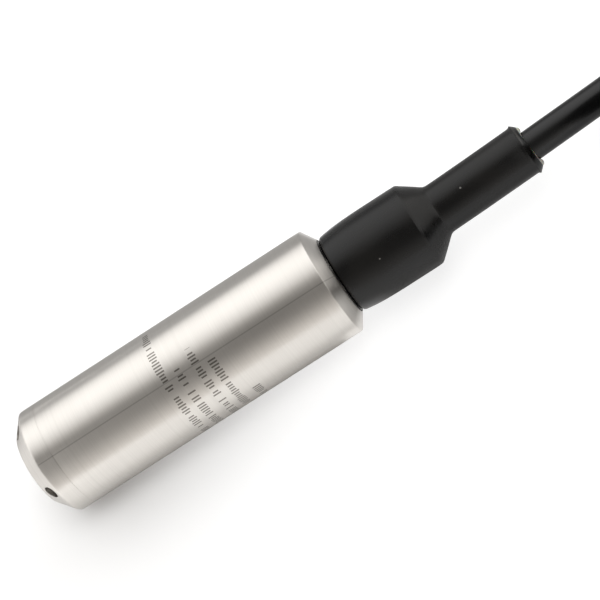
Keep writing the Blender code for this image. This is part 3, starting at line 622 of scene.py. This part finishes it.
# %% [markdown]
# ## The cable
#
# The cable is one tube along the whole route, from inside the boot to the sleeve on its far end. Curve
# to Mesh sweeps a circle along the line. Twenty-four sides are enough for a round look on a 7 mm cable,
# and the two open ends are closed afterwards. It has to be real geometry along its whole length, because
# the hank is seen from the sides, from behind and from above.

# %% Cable
sweep, sweep_in, sweep_out = new_group(
    "round_sweep", "GeometryNodeTree",
    {"Geometry": "Geometry", "Radius": 0.001, "Sides": 24, "Material": "Material"},
    {"Geometry": "Geometry"})
ring = add_node(sweep, "GeometryNodeCurvePrimitiveCircle", Resolution=sweep_in.outputs["Sides"],
                Radius=sweep_in.outputs["Radius"])
tube = add_node(sweep, "GeometryNodeCurveToMesh", Profile_Curve=ring.outputs["Curve"])
smooth = add_node(sweep, "GeometryNodeSetShadeSmooth")
whole = add_node(sweep, "GeometryNodeRealizeInstances")
coat = add_node(sweep, "GeometryNodeSetMaterial", Material=sweep_in.outputs["Material"])
chain(sweep, sweep_in, (tube, "Curve", "Mesh"), smooth, whole, coat, sweep_out)

cable = run_tree(as_curve("cable", route_m), sweep,
                 {"Radius": cable_diameter / 2 * MM, "Sides": 24, "Material": jacket})
tidy_mesh(cable, sharp_degrees=40)
finish_piece(cable, "cable_jacket", "cable_run", "cable_hank", "cable_tail")

# %% [markdown]
# ## Turned pieces
#
# The housing, the nose cap and the boot are bodies of revolution, so each is a section line swept round
# the axis. The circle that carries the section is a tenth of a millimetre wide, since a sweep needs some
# room to turn in. The way along the section is stored on its points, for the UV map that the two steel
# pieces get later.

# %% Turning tree
lathe, lathe_in, lathe_out = new_group(
    "turned_piece", "GeometryNodeTree",
    {"Geometry": "Geometry", "Segments": 160, "Hub": 0.0001, "Material": "Material"},
    {"Geometry": "Geometry"})
hub = add_node(lathe, "GeometryNodeCurvePrimitiveCircle", Resolution=lathe_in.outputs["Segments"],
               Radius=lathe_in.outputs["Hub"])
upright = add_node(lathe, "GeometryNodeSetCurveNormal", Curve=hub.outputs["Curve"])
upright.mode = "Z_UP"
way = add_node(lathe, "GeometryNodeSplineParameter")
keep = add_node(lathe, "GeometryNodeStoreNamedAttribute", Name="along", Value=way.outputs["Length"])
spin = add_node(lathe, "GeometryNodeCurveToMesh", Curve=upright.outputs["Curve"])
weld = add_node(lathe, "GeometryNodeMergeByDistance", Distance=0.000002)
whole = add_node(lathe, "GeometryNodeRealizeInstances")
coat = add_node(lathe, "GeometryNodeSetMaterial", Material=lathe_in.outputs["Material"])
chain(lathe, lathe_in, keep, (spin, "Profile Curve", "Mesh"), weld, whole, coat, lathe_out)

HUB = 0.1
TURNED_SHARP = 28.0
cone_length = 3.6
housing_low, housing_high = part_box("housing_tube")
axis_z = (housing_low.z + housing_high.z) / 2 / MM
shoulder_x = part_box("nose_cap")[0].x / MM + cone_length
print("axis height", round(axis_z, 3), "mm, nose shoulder at x", round(shoulder_x, 2), "mm")

# %% [markdown]
# ## Sections and the map of a turned piece
#
# A section is a list of places along the axis with a radius. Each corner can be rounded, because no
# turned edge is perfectly sharp and the small radius catches the light. The UV map of a piece has U
# along the section and V round the axis, both in metres.

# %% Turning helpers
def rounded(section, steps=4):
    """Round the corners of a section. A corner is (place, radius, fillet), all in millimetres."""
    points = []
    for i, (x, r, fillet) in enumerate(section):
        here = Vector((x, r))
        if not fillet or i in (0, len(section) - 1):
            points.append(here)
            continue
        before = Vector(section[i - 1][:2]) - here
        after = Vector(section[i + 1][:2]) - here
        reach = min(fillet, before.length / 2, after.length / 2)
        start = here + before.normalized() * reach
        end = here + after.normalized() * reach
        for step in range(steps + 1):
            t = step / steps
            points.append(start * (1 - t) ** 2 + here * 2 * t * (1 - t) + end * t ** 2)
    return points


def divided(points, longest):
    """Add points so that no span of a section is longer than this."""
    made = [points[0]]
    for a, b in zip(points, points[1:]):
        count = max(1, math.ceil((b - a).length / longest))
        made += [a.lerp(b, (i + 1) / count) for i in range(count)]
    return made


def map_round(thing, radius):
    """Write the UV map of a turned piece: U along the section, V round the axis, in metres."""
    mesh = thing.data
    place = np.zeros(len(mesh.vertices) * 3)
    mesh.vertices.foreach_get("co", place)
    place = place.reshape(-1, 3)
    angle = np.arctan2(place[:, 2] - axis_z * MM, place[:, 1]) / (2 * math.pi)
    along = np.zeros(len(mesh.vertices), np.float32)
    mesh.attributes["along"].data.foreach_get("value", along)
    corner = np.zeros(len(mesh.loops), np.int32)
    mesh.loops.foreach_get("vertex_index", corner)
    uv_layer = mesh.uv_layers.get("UVMap") or mesh.uv_layers.new(name="UVMap")
    uv = np.zeros((len(corner), 2))
    uv[:, 0] = along[corner]
    uv[:, 1] = angle[corner]
    for face in mesh.polygons:
        span = slice(face.loop_start, face.loop_start + face.loop_total)
        uv[span, 1] += np.round(uv[face.loop_start, 1] - uv[span, 1])
    uv[:, 1] *= 2 * math.pi * radius * MM
    uv_layer.data.foreach_set("uv", uv.ravel())


def turn_piece(name, section, material, segments, closed=False, sharp=TURNED_SHARP):
    """Turn a section about the probe's axis. Places count from the nose shoulder."""
    line = [((r - HUB) * MM, -x * MM, 0.0) for x, r in section]
    made = run_tree(as_curve(name, line, closed), lathe,
                    {"Segments": segments, "Hub": HUB * MM, "Material": material})
    to_axis = Matrix(((0, 0, 1, shoulder_x * MM), (0, 1, 0, 0), (-1, 0, 0, axis_z * MM), (0, 0, 0, 1)))
    made.data.transform(to_axis)
    return tidy_mesh(made, sharp, close=False)


print("turning helpers: rounded, divided, map_round, turn_piece")

# %% [markdown]
# ## The housing tube
#
# A plain tube with a short cone at its rear end, bored for the electronics and a little narrower behind.
# Its section is closed: out along the outside and back along the bore. The crease where the cone starts
# is crisp on the real piece, so its fillet is only a fifth of a millimetre.

# %% Housing tube
body_radius = 13.0
bore_radius = 10.5
bore_middle = 30.0
rear_bore_radius = 9.3
rear_bore_start = 68.0
seam_place = 3.99
body_end = 75.2
housing_end = 77.5
housing_section = rounded([
    (bore_middle, bore_radius, 0), (seam_place, bore_radius, 0), (seam_place, body_radius, 0.04),
    (body_end, body_radius, 0.22), (housing_end, rear_bore_radius + 0.12, 0.08),
    (housing_end, rear_bore_radius, 0), (rear_bore_start, rear_bore_radius, 0),
    (rear_bore_start, bore_radius, 0),
])
etched_steel = marked_steel("marked_steel", shoulder_x, axis_z, body_radius)
housing = turn_piece("housing", divided(housing_section, 6.0), etched_steel, 192, closed=True)
map_round(housing, body_radius)
finish_piece(housing, "turned_steel", "housing_tube")

# %% [markdown]
# ## The nose cap
#
# The cap closes the front with a cone and keeps stones and mud off the diaphragm. Its section has many
# short steps, so that the faces round each hole that is cut next stay small and shade smoothly.

# %% Nose cap
nose_face_radius = 8.8
chamber_start, chamber_radius, chamber_end = -2.2, 9.0, 8.0
spigot_radius = 10.2
cap_end = seam_place - 0.01
nose_section = rounded([
    (chamber_start, 0.0, 0), (chamber_start, 6.6, 0), (0.2, chamber_radius, 0),
    (chamber_end, chamber_radius, 0), (chamber_end, spigot_radius, 0), (cap_end, spigot_radius, 0),
    (cap_end, body_radius, 0.04), (0.0, body_radius, 0.35), (-cone_length, nose_face_radius, 0.35),
    (-cone_length, 0.0, 0),
])
nose = turn_piece("nose", divided(nose_section, 0.45), etched_steel, 160)
print("nose cap:", len(nose.data.polygons), "faces before drilling")

# %% [markdown]
# ## Its ports
#
# Water comes in through four round ports, drilled square to the cone. A Boolean cuts them, with four
# cylinders in one mesh. The cap is mapped after that, so that the walls of the ports are mapped too.

# %% Ports
port_count = 4
first_port_angle = 64.0
port_radius = 1.7
port_depth = 8.0
port_setback = 1.68
slope = (body_radius - nose_face_radius) / cone_length
port_ring_radius = body_radius - slope * port_setback
cutter = in_scene("port_cutters", bpy.data.meshes.new("port_cutters"))
work = bmesh.new()
for number in range(port_count):
    angle = math.radians(first_port_angle + 360.0 / port_count * number)
    outward = Vector((0.0, -math.sin(angle), math.cos(angle)))
    axis = (outward - Vector((slope, 0.0, 0.0))).normalized()
    mouth = Vector((shoulder_x - port_setback, 0.0, axis_z)) + outward * port_ring_radius
    where = Matrix.Translation(mouth * MM) @ axis.to_track_quat("Z", "Y").to_matrix().to_4x4()
    bmesh.ops.create_cone(work, cap_ends=True, segments=48, radius1=port_radius * MM,
                          radius2=port_radius * MM, depth=port_depth * MM, matrix=where)
work.to_mesh(cutter.data)
work.free()
drill = nose.modifiers.new("ports", "BOOLEAN")
drill.object = cutter
drill.operation = "DIFFERENCE"
bpy.context.view_layer.update()
drilled = bpy.data.meshes.new_from_object(nose.evaluated_get(bpy.context.evaluated_depsgraph_get()))
nose.modifiers.clear()
nose.data = drilled
bpy.data.objects.remove(cutter, do_unlink=True)
nose.data.shade_smooth()
nose.data.set_sharp_from_angle(angle=math.radians(TURNED_SHARP))
map_round(nose, body_radius)
finish_piece(nose, "turned_steel", "nose_cap")

# %% [markdown]
# ## The rubber boot
#
# The boot starts behind the steel with a thin rim, swells a little over the gland's nut, tapers, and
# grips the cable with a long neck. Heat shrank it in place, so it is neither quite straight nor quite
# round. After turning, its neck is bent by the same small amount as the solid, its mouth flares slightly
# on two sides, and the mouth's front side is a little longer than its back.

# %% Boot
boot_start, boot_end = 77.8, 127.6
nut_end, taper_end = 96.8, boot_start + 26.0
skew_start, skew_run = 118.0, 8.0
flare_start, flare_run, flare_share = 125.8, 0.6, 0.03
boot_lean, boot_curl = 0.008, 0.45
boot_bore_radius = 4.62
boot_outside = smooth_through([
    (78.45, 9.4), (78.9, 9.54), (82.3, 9.92), (86.8, 10.08), (92.5, 10.1), (97.6, 10.07), (98.6, 9.86),
    (99.4, 9.26), (101.4, 7.68), (103.0, 6.38), (103.7, 6.0), (104.8, neck_radius), (110.0, neck_radius),
    (116.0, neck_radius), (122.0, neck_radius), (125.4, neck_radius), (126.0, 5.93), (126.3, 6.02),
    (126.45, 6.03), (126.55, 5.93), (126.8, 5.72), (127.2, 5.38), (127.48, 5.1), (boot_end, 4.9),
], 5)
boot_rim = [(boot_start, 8.5), (boot_start, 8.96), (boot_start + 0.05, 9.0), (boot_start + 0.35, 8.72),
            (boot_start + 0.4, 9.28)]
boot_bore = [(127.5, 4.74), (127.2, 4.66), (126.0, boot_bore_radius), (120.0, boot_bore_radius)]
boot_section = [Vector(p) for p in [(110.0, boot_bore_radius), *boot_rim, *boot_outside, *boot_bore]]
boot = turn_piece("rubber_boot", divided(boot_section, 1.2), rubber, 144, closed=True, sharp=40.0)


def sway(place):
    """How far the boot leans to +Y, in millimetres, at a place along the axis."""
    along = max(place - boot_start, 0.0)
    settled = ease((place - nut_end) / (taper_end - nut_end))
    return settled * (boot_lean * along + boot_curl * MM * along ** 2)


def askew(place, way):
    """How much longer the mouth is on its front side, in millimetres."""
    return mouth_skew * ease((place - skew_start) / skew_run) * (0.5 - 0.5 * math.cos(way - flare_angle))


for vertex in boot.data.vertices:
    place = vertex.co.x / MM - shoulder_x
    height = vertex.co.z - axis_z * MM
    way = math.atan2(height, vertex.co.y)
    flare = flare_share * ease((place - flare_start) / flare_run) * abs(math.cos(way - flare_angle)) ** 6
    vertex.co.y = vertex.co.y * (1 + flare) + sway(place) * MM
    vertex.co.z = axis_z * MM + height * (1 + flare)
    vertex.co.x += askew(place, way) * MM
boot.data.update()
finish_piece(boot, "black_rubber", "boot")
print("mouth leans", round(sway(boot_end), 2), "mm")

# %% [markdown]
# ## The glue at the boot's mouth
#
# The boot is lined with a hot-melt glue. As the boot shrinks the glue runs, and a little of it comes out
# at the mouth, where it sets as two whitish crescents beside the cable. The bead is a ring whose round
# section grows and shrinks on the way round, built ring by ring and joined into one closed skin.

# %% Glue bead
def grown_ring(name, place, ring_radius, thickness, material, around=96, sides=12):
    """A closed ring about the axis. Thickness is a function of the angle. Sizes are in millimetres."""
    made = bmesh.new()
    loops = []
    for i in range(around):
        way = 2 * math.pi * i / around
        thick = thickness(way)
        loop = []
        for j in range(sides):
            turn = 2 * math.pi * j / sides
            r = ring_radius + thick * math.cos(turn)
            x = shoulder_x + place + askew(place, way) + 0.8 * thick * math.sin(turn)
            corner = Vector((x, r * math.cos(way) + sway(place), axis_z + r * math.sin(way)))
            loop.append(made.verts.new(corner * MM))
        loops.append(loop)
    for i in range(around):
        here, there = loops[i], loops[(i + 1) % around]
        for j in range(sides):
            made.faces.new((here[j], here[(j + 1) % sides], there[(j + 1) % sides], there[j]))
    mesh = bpy.data.meshes.new(name)
    made.to_mesh(mesh)
    made.free()
    mesh.materials.append(material)
    return tidy_mesh(in_scene(name, mesh), close=False)


glue, tree, shader = new_material("set_glue", (0.62, 0.58, 0.48), 0.35, Subsurface_Weight=0.3,
                                  Subsurface_Scale=0.001)
haze = use_group(tree, clouds, coordinates(tree), Size=0.003)
tint(tree, shader, haze["Value"], (0.5, 0.47, 0.39), (0.74, 0.71, 0.62))
bump(tree, shader, haze["Value"], 0.0001, 0.6)


def crescent(way):
    """Thick on the two sides where the mouth flares, thin between them."""
    side = abs(math.cos(way - flare_angle)) ** 8
    return 0.14 + 0.7 * side + 0.03 * math.sin(5 * way + 1.0)


finish_piece(grown_ring("glue_bead", 127.5, 4.3, crescent, glue), "hot_glue")

# %% [markdown]
# ## Finishes of the other solids
#
# The solids that stay as they are still need a finish each, the ones inside as well, because someone may
# open the model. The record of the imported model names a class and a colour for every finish. A small
# table turns the class into a shader: how metallic, how rough, and how large its cloudy variation is.

# %% Finishes by class
classes = {
    "brushed_steel": (1.0, 0.28, 0.004), "brass": (1.0, 0.3, 0.003), "rubber": (0.0, 0.5, 0.004),
    "gloss_plastic": (0.0, 0.22, 0.006), "matte_plastic": (0.0, 0.45, 0.004),
}


def finish_from_record(entry):
    """A cloudy material from a class and a colour."""
    metal, roughness, size = classes[entry["class"]]
    color = entry["base_color"]
    material, tree, shader = new_material("inner_" + entry["slot"], color, roughness, metal)
    place = coordinates(tree)
    haze = use_group(tree, clouds, place, Size=size)
    darker, lighter = [v * 0.86 for v in color], [min(v * 1.1, 0.95) for v in color]
    tint(tree, shader, haze["Value"], darker, lighter)
    tree.links.new(calc(tree, "MULTIPLY_ADD", haze["Value"], 0.1, roughness - 0.05),
                   shader.inputs["Roughness"])
    if metal:
        fine = noise(tree, stretched(tree, place, (6000.0, 200.0, 200.0)), 1.0, 2.0)
        bump(tree, shader, fine, 0.000004, 0.4)
    return material


finishes = {"black_rubber": rubber, "cable_jacket": jacket, "hot_glue": glue}
for entry in frame["record"]["materials"]:
    if entry["slot"] not in finishes:
        finishes[entry["slot"]] = finish_from_record(entry)
for thing in nodes.values():
    for slot in thing.material_slots:
        slot.material = finishes[slot.material.name]
print("finishes:", len(finishes))

# %% [markdown]
# ## The stripped ends of the leads
#
# The wires on the cable's free end are stripped for the last six millimetres and dipped in tin. The
# material reads the place in the object and changes there from coloured insulation to bare tinned wire,
# with a few twisted strands drawn by a wave. The board gets faint copper tracks in the same way: a
# pattern of lines.

# %% Stripped ends and board tracks
tip_length = 6.0
tip_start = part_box("lead_red")[0].x + tip_length * MM
for color in ("red", "black", "white"):
    material = finishes[color + "_core"].copy()
    material.name = "lead_" + color + "_core"
    tree = material.node_tree
    shader = tree.nodes["Principled BSDF"]
    place = coordinates(tree)
    bare = calc(tree, "LESS_THAN", xyz(tree, place)[0], tip_start)
    paint(tree, shader, bare, (0.72, 0.71, 0.69))
    tree.links.new(bare, shader.inputs["Metallic"])
    strands = add_node(tree, "ShaderNodeTexWave", Vector=place, Scale=320.0)
    strands.wave_type = "BANDS"
    strands.bands_direction = "DIAGONAL"
    bump(tree, shader, calc(tree, "MULTIPLY", strands.outputs["Fac"], bare), 0.0002, 0.6)
    nodes["lead_" + color].material_slots[0].material = material

tree = finishes["board_green"].node_tree
shader = tree.nodes["Principled BSDF"]
black, white = (0.0, 0.0, 0.0, 1.0), (1.0, 1.0, 1.0, 1.0)
tracks = add_node(tree, "ShaderNodeTexBrick", Vector=coordinates(tree), Scale=420.0, Mortar_Size=0.03,
                  Color1=black, Color2=black, Mortar=white)
paint(tree, shader, tracks.outputs["Color"], (0.05, 0.32, 0.13))
print("stripped from x", round(tip_start / MM, 1), "mm")

# %% [markdown]
# ## The floor
#
# In the photograph the white paper keeps a shadow only by the nose, and the steel mirrors it darker than
# it looks. So this floor answers each kind of ray in its own way. Plain light meets a pale paper. The
# camera sees a glow that brings it up to white, over a paper that keeps the shadow: clearly near the
# nose, weakly towards the boot, where a stronger glow paints light over it. Reflections see painted
# shade on it behind the tube, and a painted glow in front and in a strip by the rear cone, which shines
# in the photograph.

# %% Floor
def sheet(name, corners):
    """One flat face through four corners, in metres."""
    mesh = bpy.data.meshes.new(name)
    mesh.from_pydata(corners, [], [(0, 1, 2, 3)])
    return in_scene(name, mesh)


bpy.context.scene.view_settings.view_transform = "Standard"
half = 3.0
floor = sheet("floor", [(-half, -half, 0), (half, -half, 0), (half, half, 0), (-half, half, 0)])
pale, painted_shade_grey = (0.78, 0.78, 0.78), (0.39, 0.39, 0.39)
floor_paper, tree, shader = new_material("floor_paper", pale, 1.0, Specular_IOR_Level=0.0,
                                         Emission_Color=white)
rays = tree.nodes.new("ShaderNodeLightPath").outputs
place = coordinates(tree)
x, y, _ = xyz(tree, place)

# What reflections see: a painted glow strip by the rear cone, painted shade behind, and a painted glow
# in front
strip = product(tree, ramp(tree, x, 0.007, 0.010), ramp(tree, x, 0.016, 0.024, 1.0, 0.0),
                ramp(tree, y, -0.022, -0.016), ramp(tree, y, 0.034, 0.05, 1.0, 0.0),
                ramp(tree, y, -0.004, 0.008, 1.0, 0.6))
# Painted shade: reflections see the paper behind the tube darker
dim = product(tree, ramp(tree, y, -0.02, 0.05), ramp(tree, x, -0.13, -0.105),
              calc(tree, "SUBTRACT", 1.0, strip), rays["Is Glossy Ray"])
tint(tree, shader, dim, pale, painted_shade_grey)
# Painted reflections: the strip, the nose side and the front glow for reflections only
strip_light, nose_light, front_light = 0.6, 0.4, 0.3
front = calc(tree, "ADD", ramp(tree, x, -0.12, -0.07, nose_light, 0.0),
             ramp(tree, y, -0.034, -0.014, front_light, 0.0))
lift = product(tree, calc(tree, "MULTIPLY_ADD", strip, strip_light, front),
               calc(tree, "SUBTRACT", rays["Is Glossy Ray"], dim))

# What the camera sees: paper that keeps the shadow near the nose, and a glow that brings it to white
# and, stronger away from the nose, paints light over the shadow
seen_everywhere, seen_by_nose = 0.36, 0.56
full_glow, glow_given_up = 1.28, 1.35
reach = tree.nodes.new("ShaderNodeVectorMath")
reach.operation = "LENGTH"
feed(tree, reach.inputs[0], place)
near_nose = product(tree, ramp(tree, reach.outputs["Value"], 0.15, 0.35, seen_by_nose, 0.0),
                    ramp(tree, x, -0.075, 0.02, 1.0, 0.0))
paper_seen = calc(tree, "ADD", near_nose, seen_everywhere)
paint(tree, shader, rays["Is Camera Ray"], paper_seen)
glow = product(tree, calc(tree, "MULTIPLY_ADD", paper_seen, -glow_given_up, full_glow),
               rays["Is Camera Ray"])
feed(tree, shader.inputs["Emission Strength"], calc(tree, "ADD", glow, lift))
floor.data.materials.append(floor_paper)
floor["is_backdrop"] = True
print("floor:", 2 * half, "m wide,", len(tree.nodes), "nodes")

# %% [markdown]
# ## The studio in the world
#
# What a satin steel tube shows is mostly its surroundings, so the studio round it matters more than any
# lamp. Across the tube each line of the surface mirrors another height: a bright wall behind, a dark
# ceiling above the camera, a softly lit wall in front. The world is therefore a curve over the angle
# about the tube's axis, in degrees from the back horizon up and over to the front one. To the camera the
# world is plain white.

# %% World
studio = [(0, 0.3), (8, 0.4), (17, 0.85), (29, 1.42), (47, 1.6), (64, 1.48), (77, 1.18), (88, 0.84),
          (99, 0.4), (108, 0.24), (121, 0.22), (133, 0.25), (145, 0.37), (157, 0.57), (169, 0.8),
          (180, 0.92)]
brightest = 2.0
world = bpy.data.worlds.new("studio")
bpy.context.scene.world = world
world.use_nodes = True
tree = world.node_tree
tree.nodes.clear()
_, y, z = xyz(tree, coordinates(tree, "Generated"))
above = calc(tree, "MAXIMUM", z, 0.0)
angle = calc(tree, "DIVIDE", calc(tree, "ARCTAN2", above, y), math.pi)
level = add_node(tree, "ShaderNodeFloatCurve", Value=angle)
bends = level.mapping.curves[0].points
for degrees, light in studio[1:-1]:
    bends.new(degrees / 180, light / brightest)
bends[0].location = (0.0, studio[0][1] / brightest)
bends[len(bends) - 1].location = (1.0, studio[-1][1] / brightest)
level.mapping.update()
warmth = mixed(tree, ramp(tree, angle, 0.4, 0.62), (1.0, 0.998, 0.993), (1.0, 0.965, 0.925))
around = add_node(tree, "ShaderNodeBackground", Color=warmth,
                  Strength=calc(tree, "MULTIPLY", level.outputs[0], brightest))
plain = add_node(tree, "ShaderNodeBackground", Color=white)
blend = tree.nodes.new("ShaderNodeMixShader")
seen = tree.nodes.new("ShaderNodeLightPath").outputs["Is Camera Ray"]
for socket, value in zip(blend.inputs, (seen, around.outputs[0], plain.outputs[0])):
    feed(tree, socket, value)
add_node(tree, "ShaderNodeOutputWorld", Surface=blend.outputs[0])
print("studio levels:", [light for _, light in studio])

# %% [markdown]
# ## One soft lamp
#
# A large weak lamp, high above the probe and a little in front of it, gives the light a direction and
# keeps the shadow soft. It doesn't show in reflections, because there the studio has its own light.

# %% Lamp
lamp_data = bpy.data.lights.new("high_softbox", "AREA")
lamp_data.shape = "RECTANGLE"
lamp_data.size, lamp_data.size_y = 1.0, 0.6
lamp_data.energy = 6.0
softbox = in_scene("high_softbox", lamp_data)
softbox.location = (0.12, -0.25, 1.25)
softbox.rotation_euler = (-softbox.location).to_track_quat("-Z", "Y").to_euler()
softbox.visible_glossy = False
print("lamp:", lamp_data.energy, "W")

# %% [markdown]
# ## Two cards for the reflections
#
# A photographer puts white cards beside a shiny thing, to fill what it mirrors. The side card stands
# between the boot's taper and the hank, which the taper would mirror as a dark patch. The front card
# hangs in front of the nose, lets some of the studio through, and lightens the dark band near the nose
# as in the photograph. Only reflections see them, and only from their front side.

# %% Cards
def reflector(name, corners, strength, cover):
    """A sheet of glowing paper that only reflections see. Cover is how much it hides, from 0 to 1."""
    card = sheet(name, corners)
    paper, tree, shader = new_material(name + "_paper", (0.0, 0.0, 0.0), 1.0, Emission_Strength=strength,
                                       Emission_Color=(1.0, 0.985, 0.96, 1.0))
    back = tree.nodes.new("ShaderNodeNewGeometry").outputs["Backfacing"]
    facing = calc(tree, "SUBTRACT", 1.0, back)
    tree.links.new(calc(tree, "MULTIPLY", facing, cover), shader.inputs["Alpha"])
    card.data.materials.append(paper)
    card.visible_camera = card.visible_diffuse = card.visible_shadow = card.visible_transmission = False
    card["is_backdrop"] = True
    print(name, "gives", strength, "and hides", cover)


x, left, right, low, high = 0.066, -0.022, 0.03, 0.021, 0.045
reflector("side_card", [(x, left, low), (x, left, high), (x, right, high), (x, right, low)], 1.25, 1.0)
near, far, front, back = -0.075, -0.24, (-0.128, 0.065), (-0.045, 0.13)
reflector("front_card", [(near, *front), (far, *front), (far, *back), (near, *back)], 0.9, 0.4)

# %% [markdown]
# ## The size of the dressed model
#
# The box of the dressed model is measured, over every piece that shows, but not the floor and the cards.

# %% Sizes and the end
low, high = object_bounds()
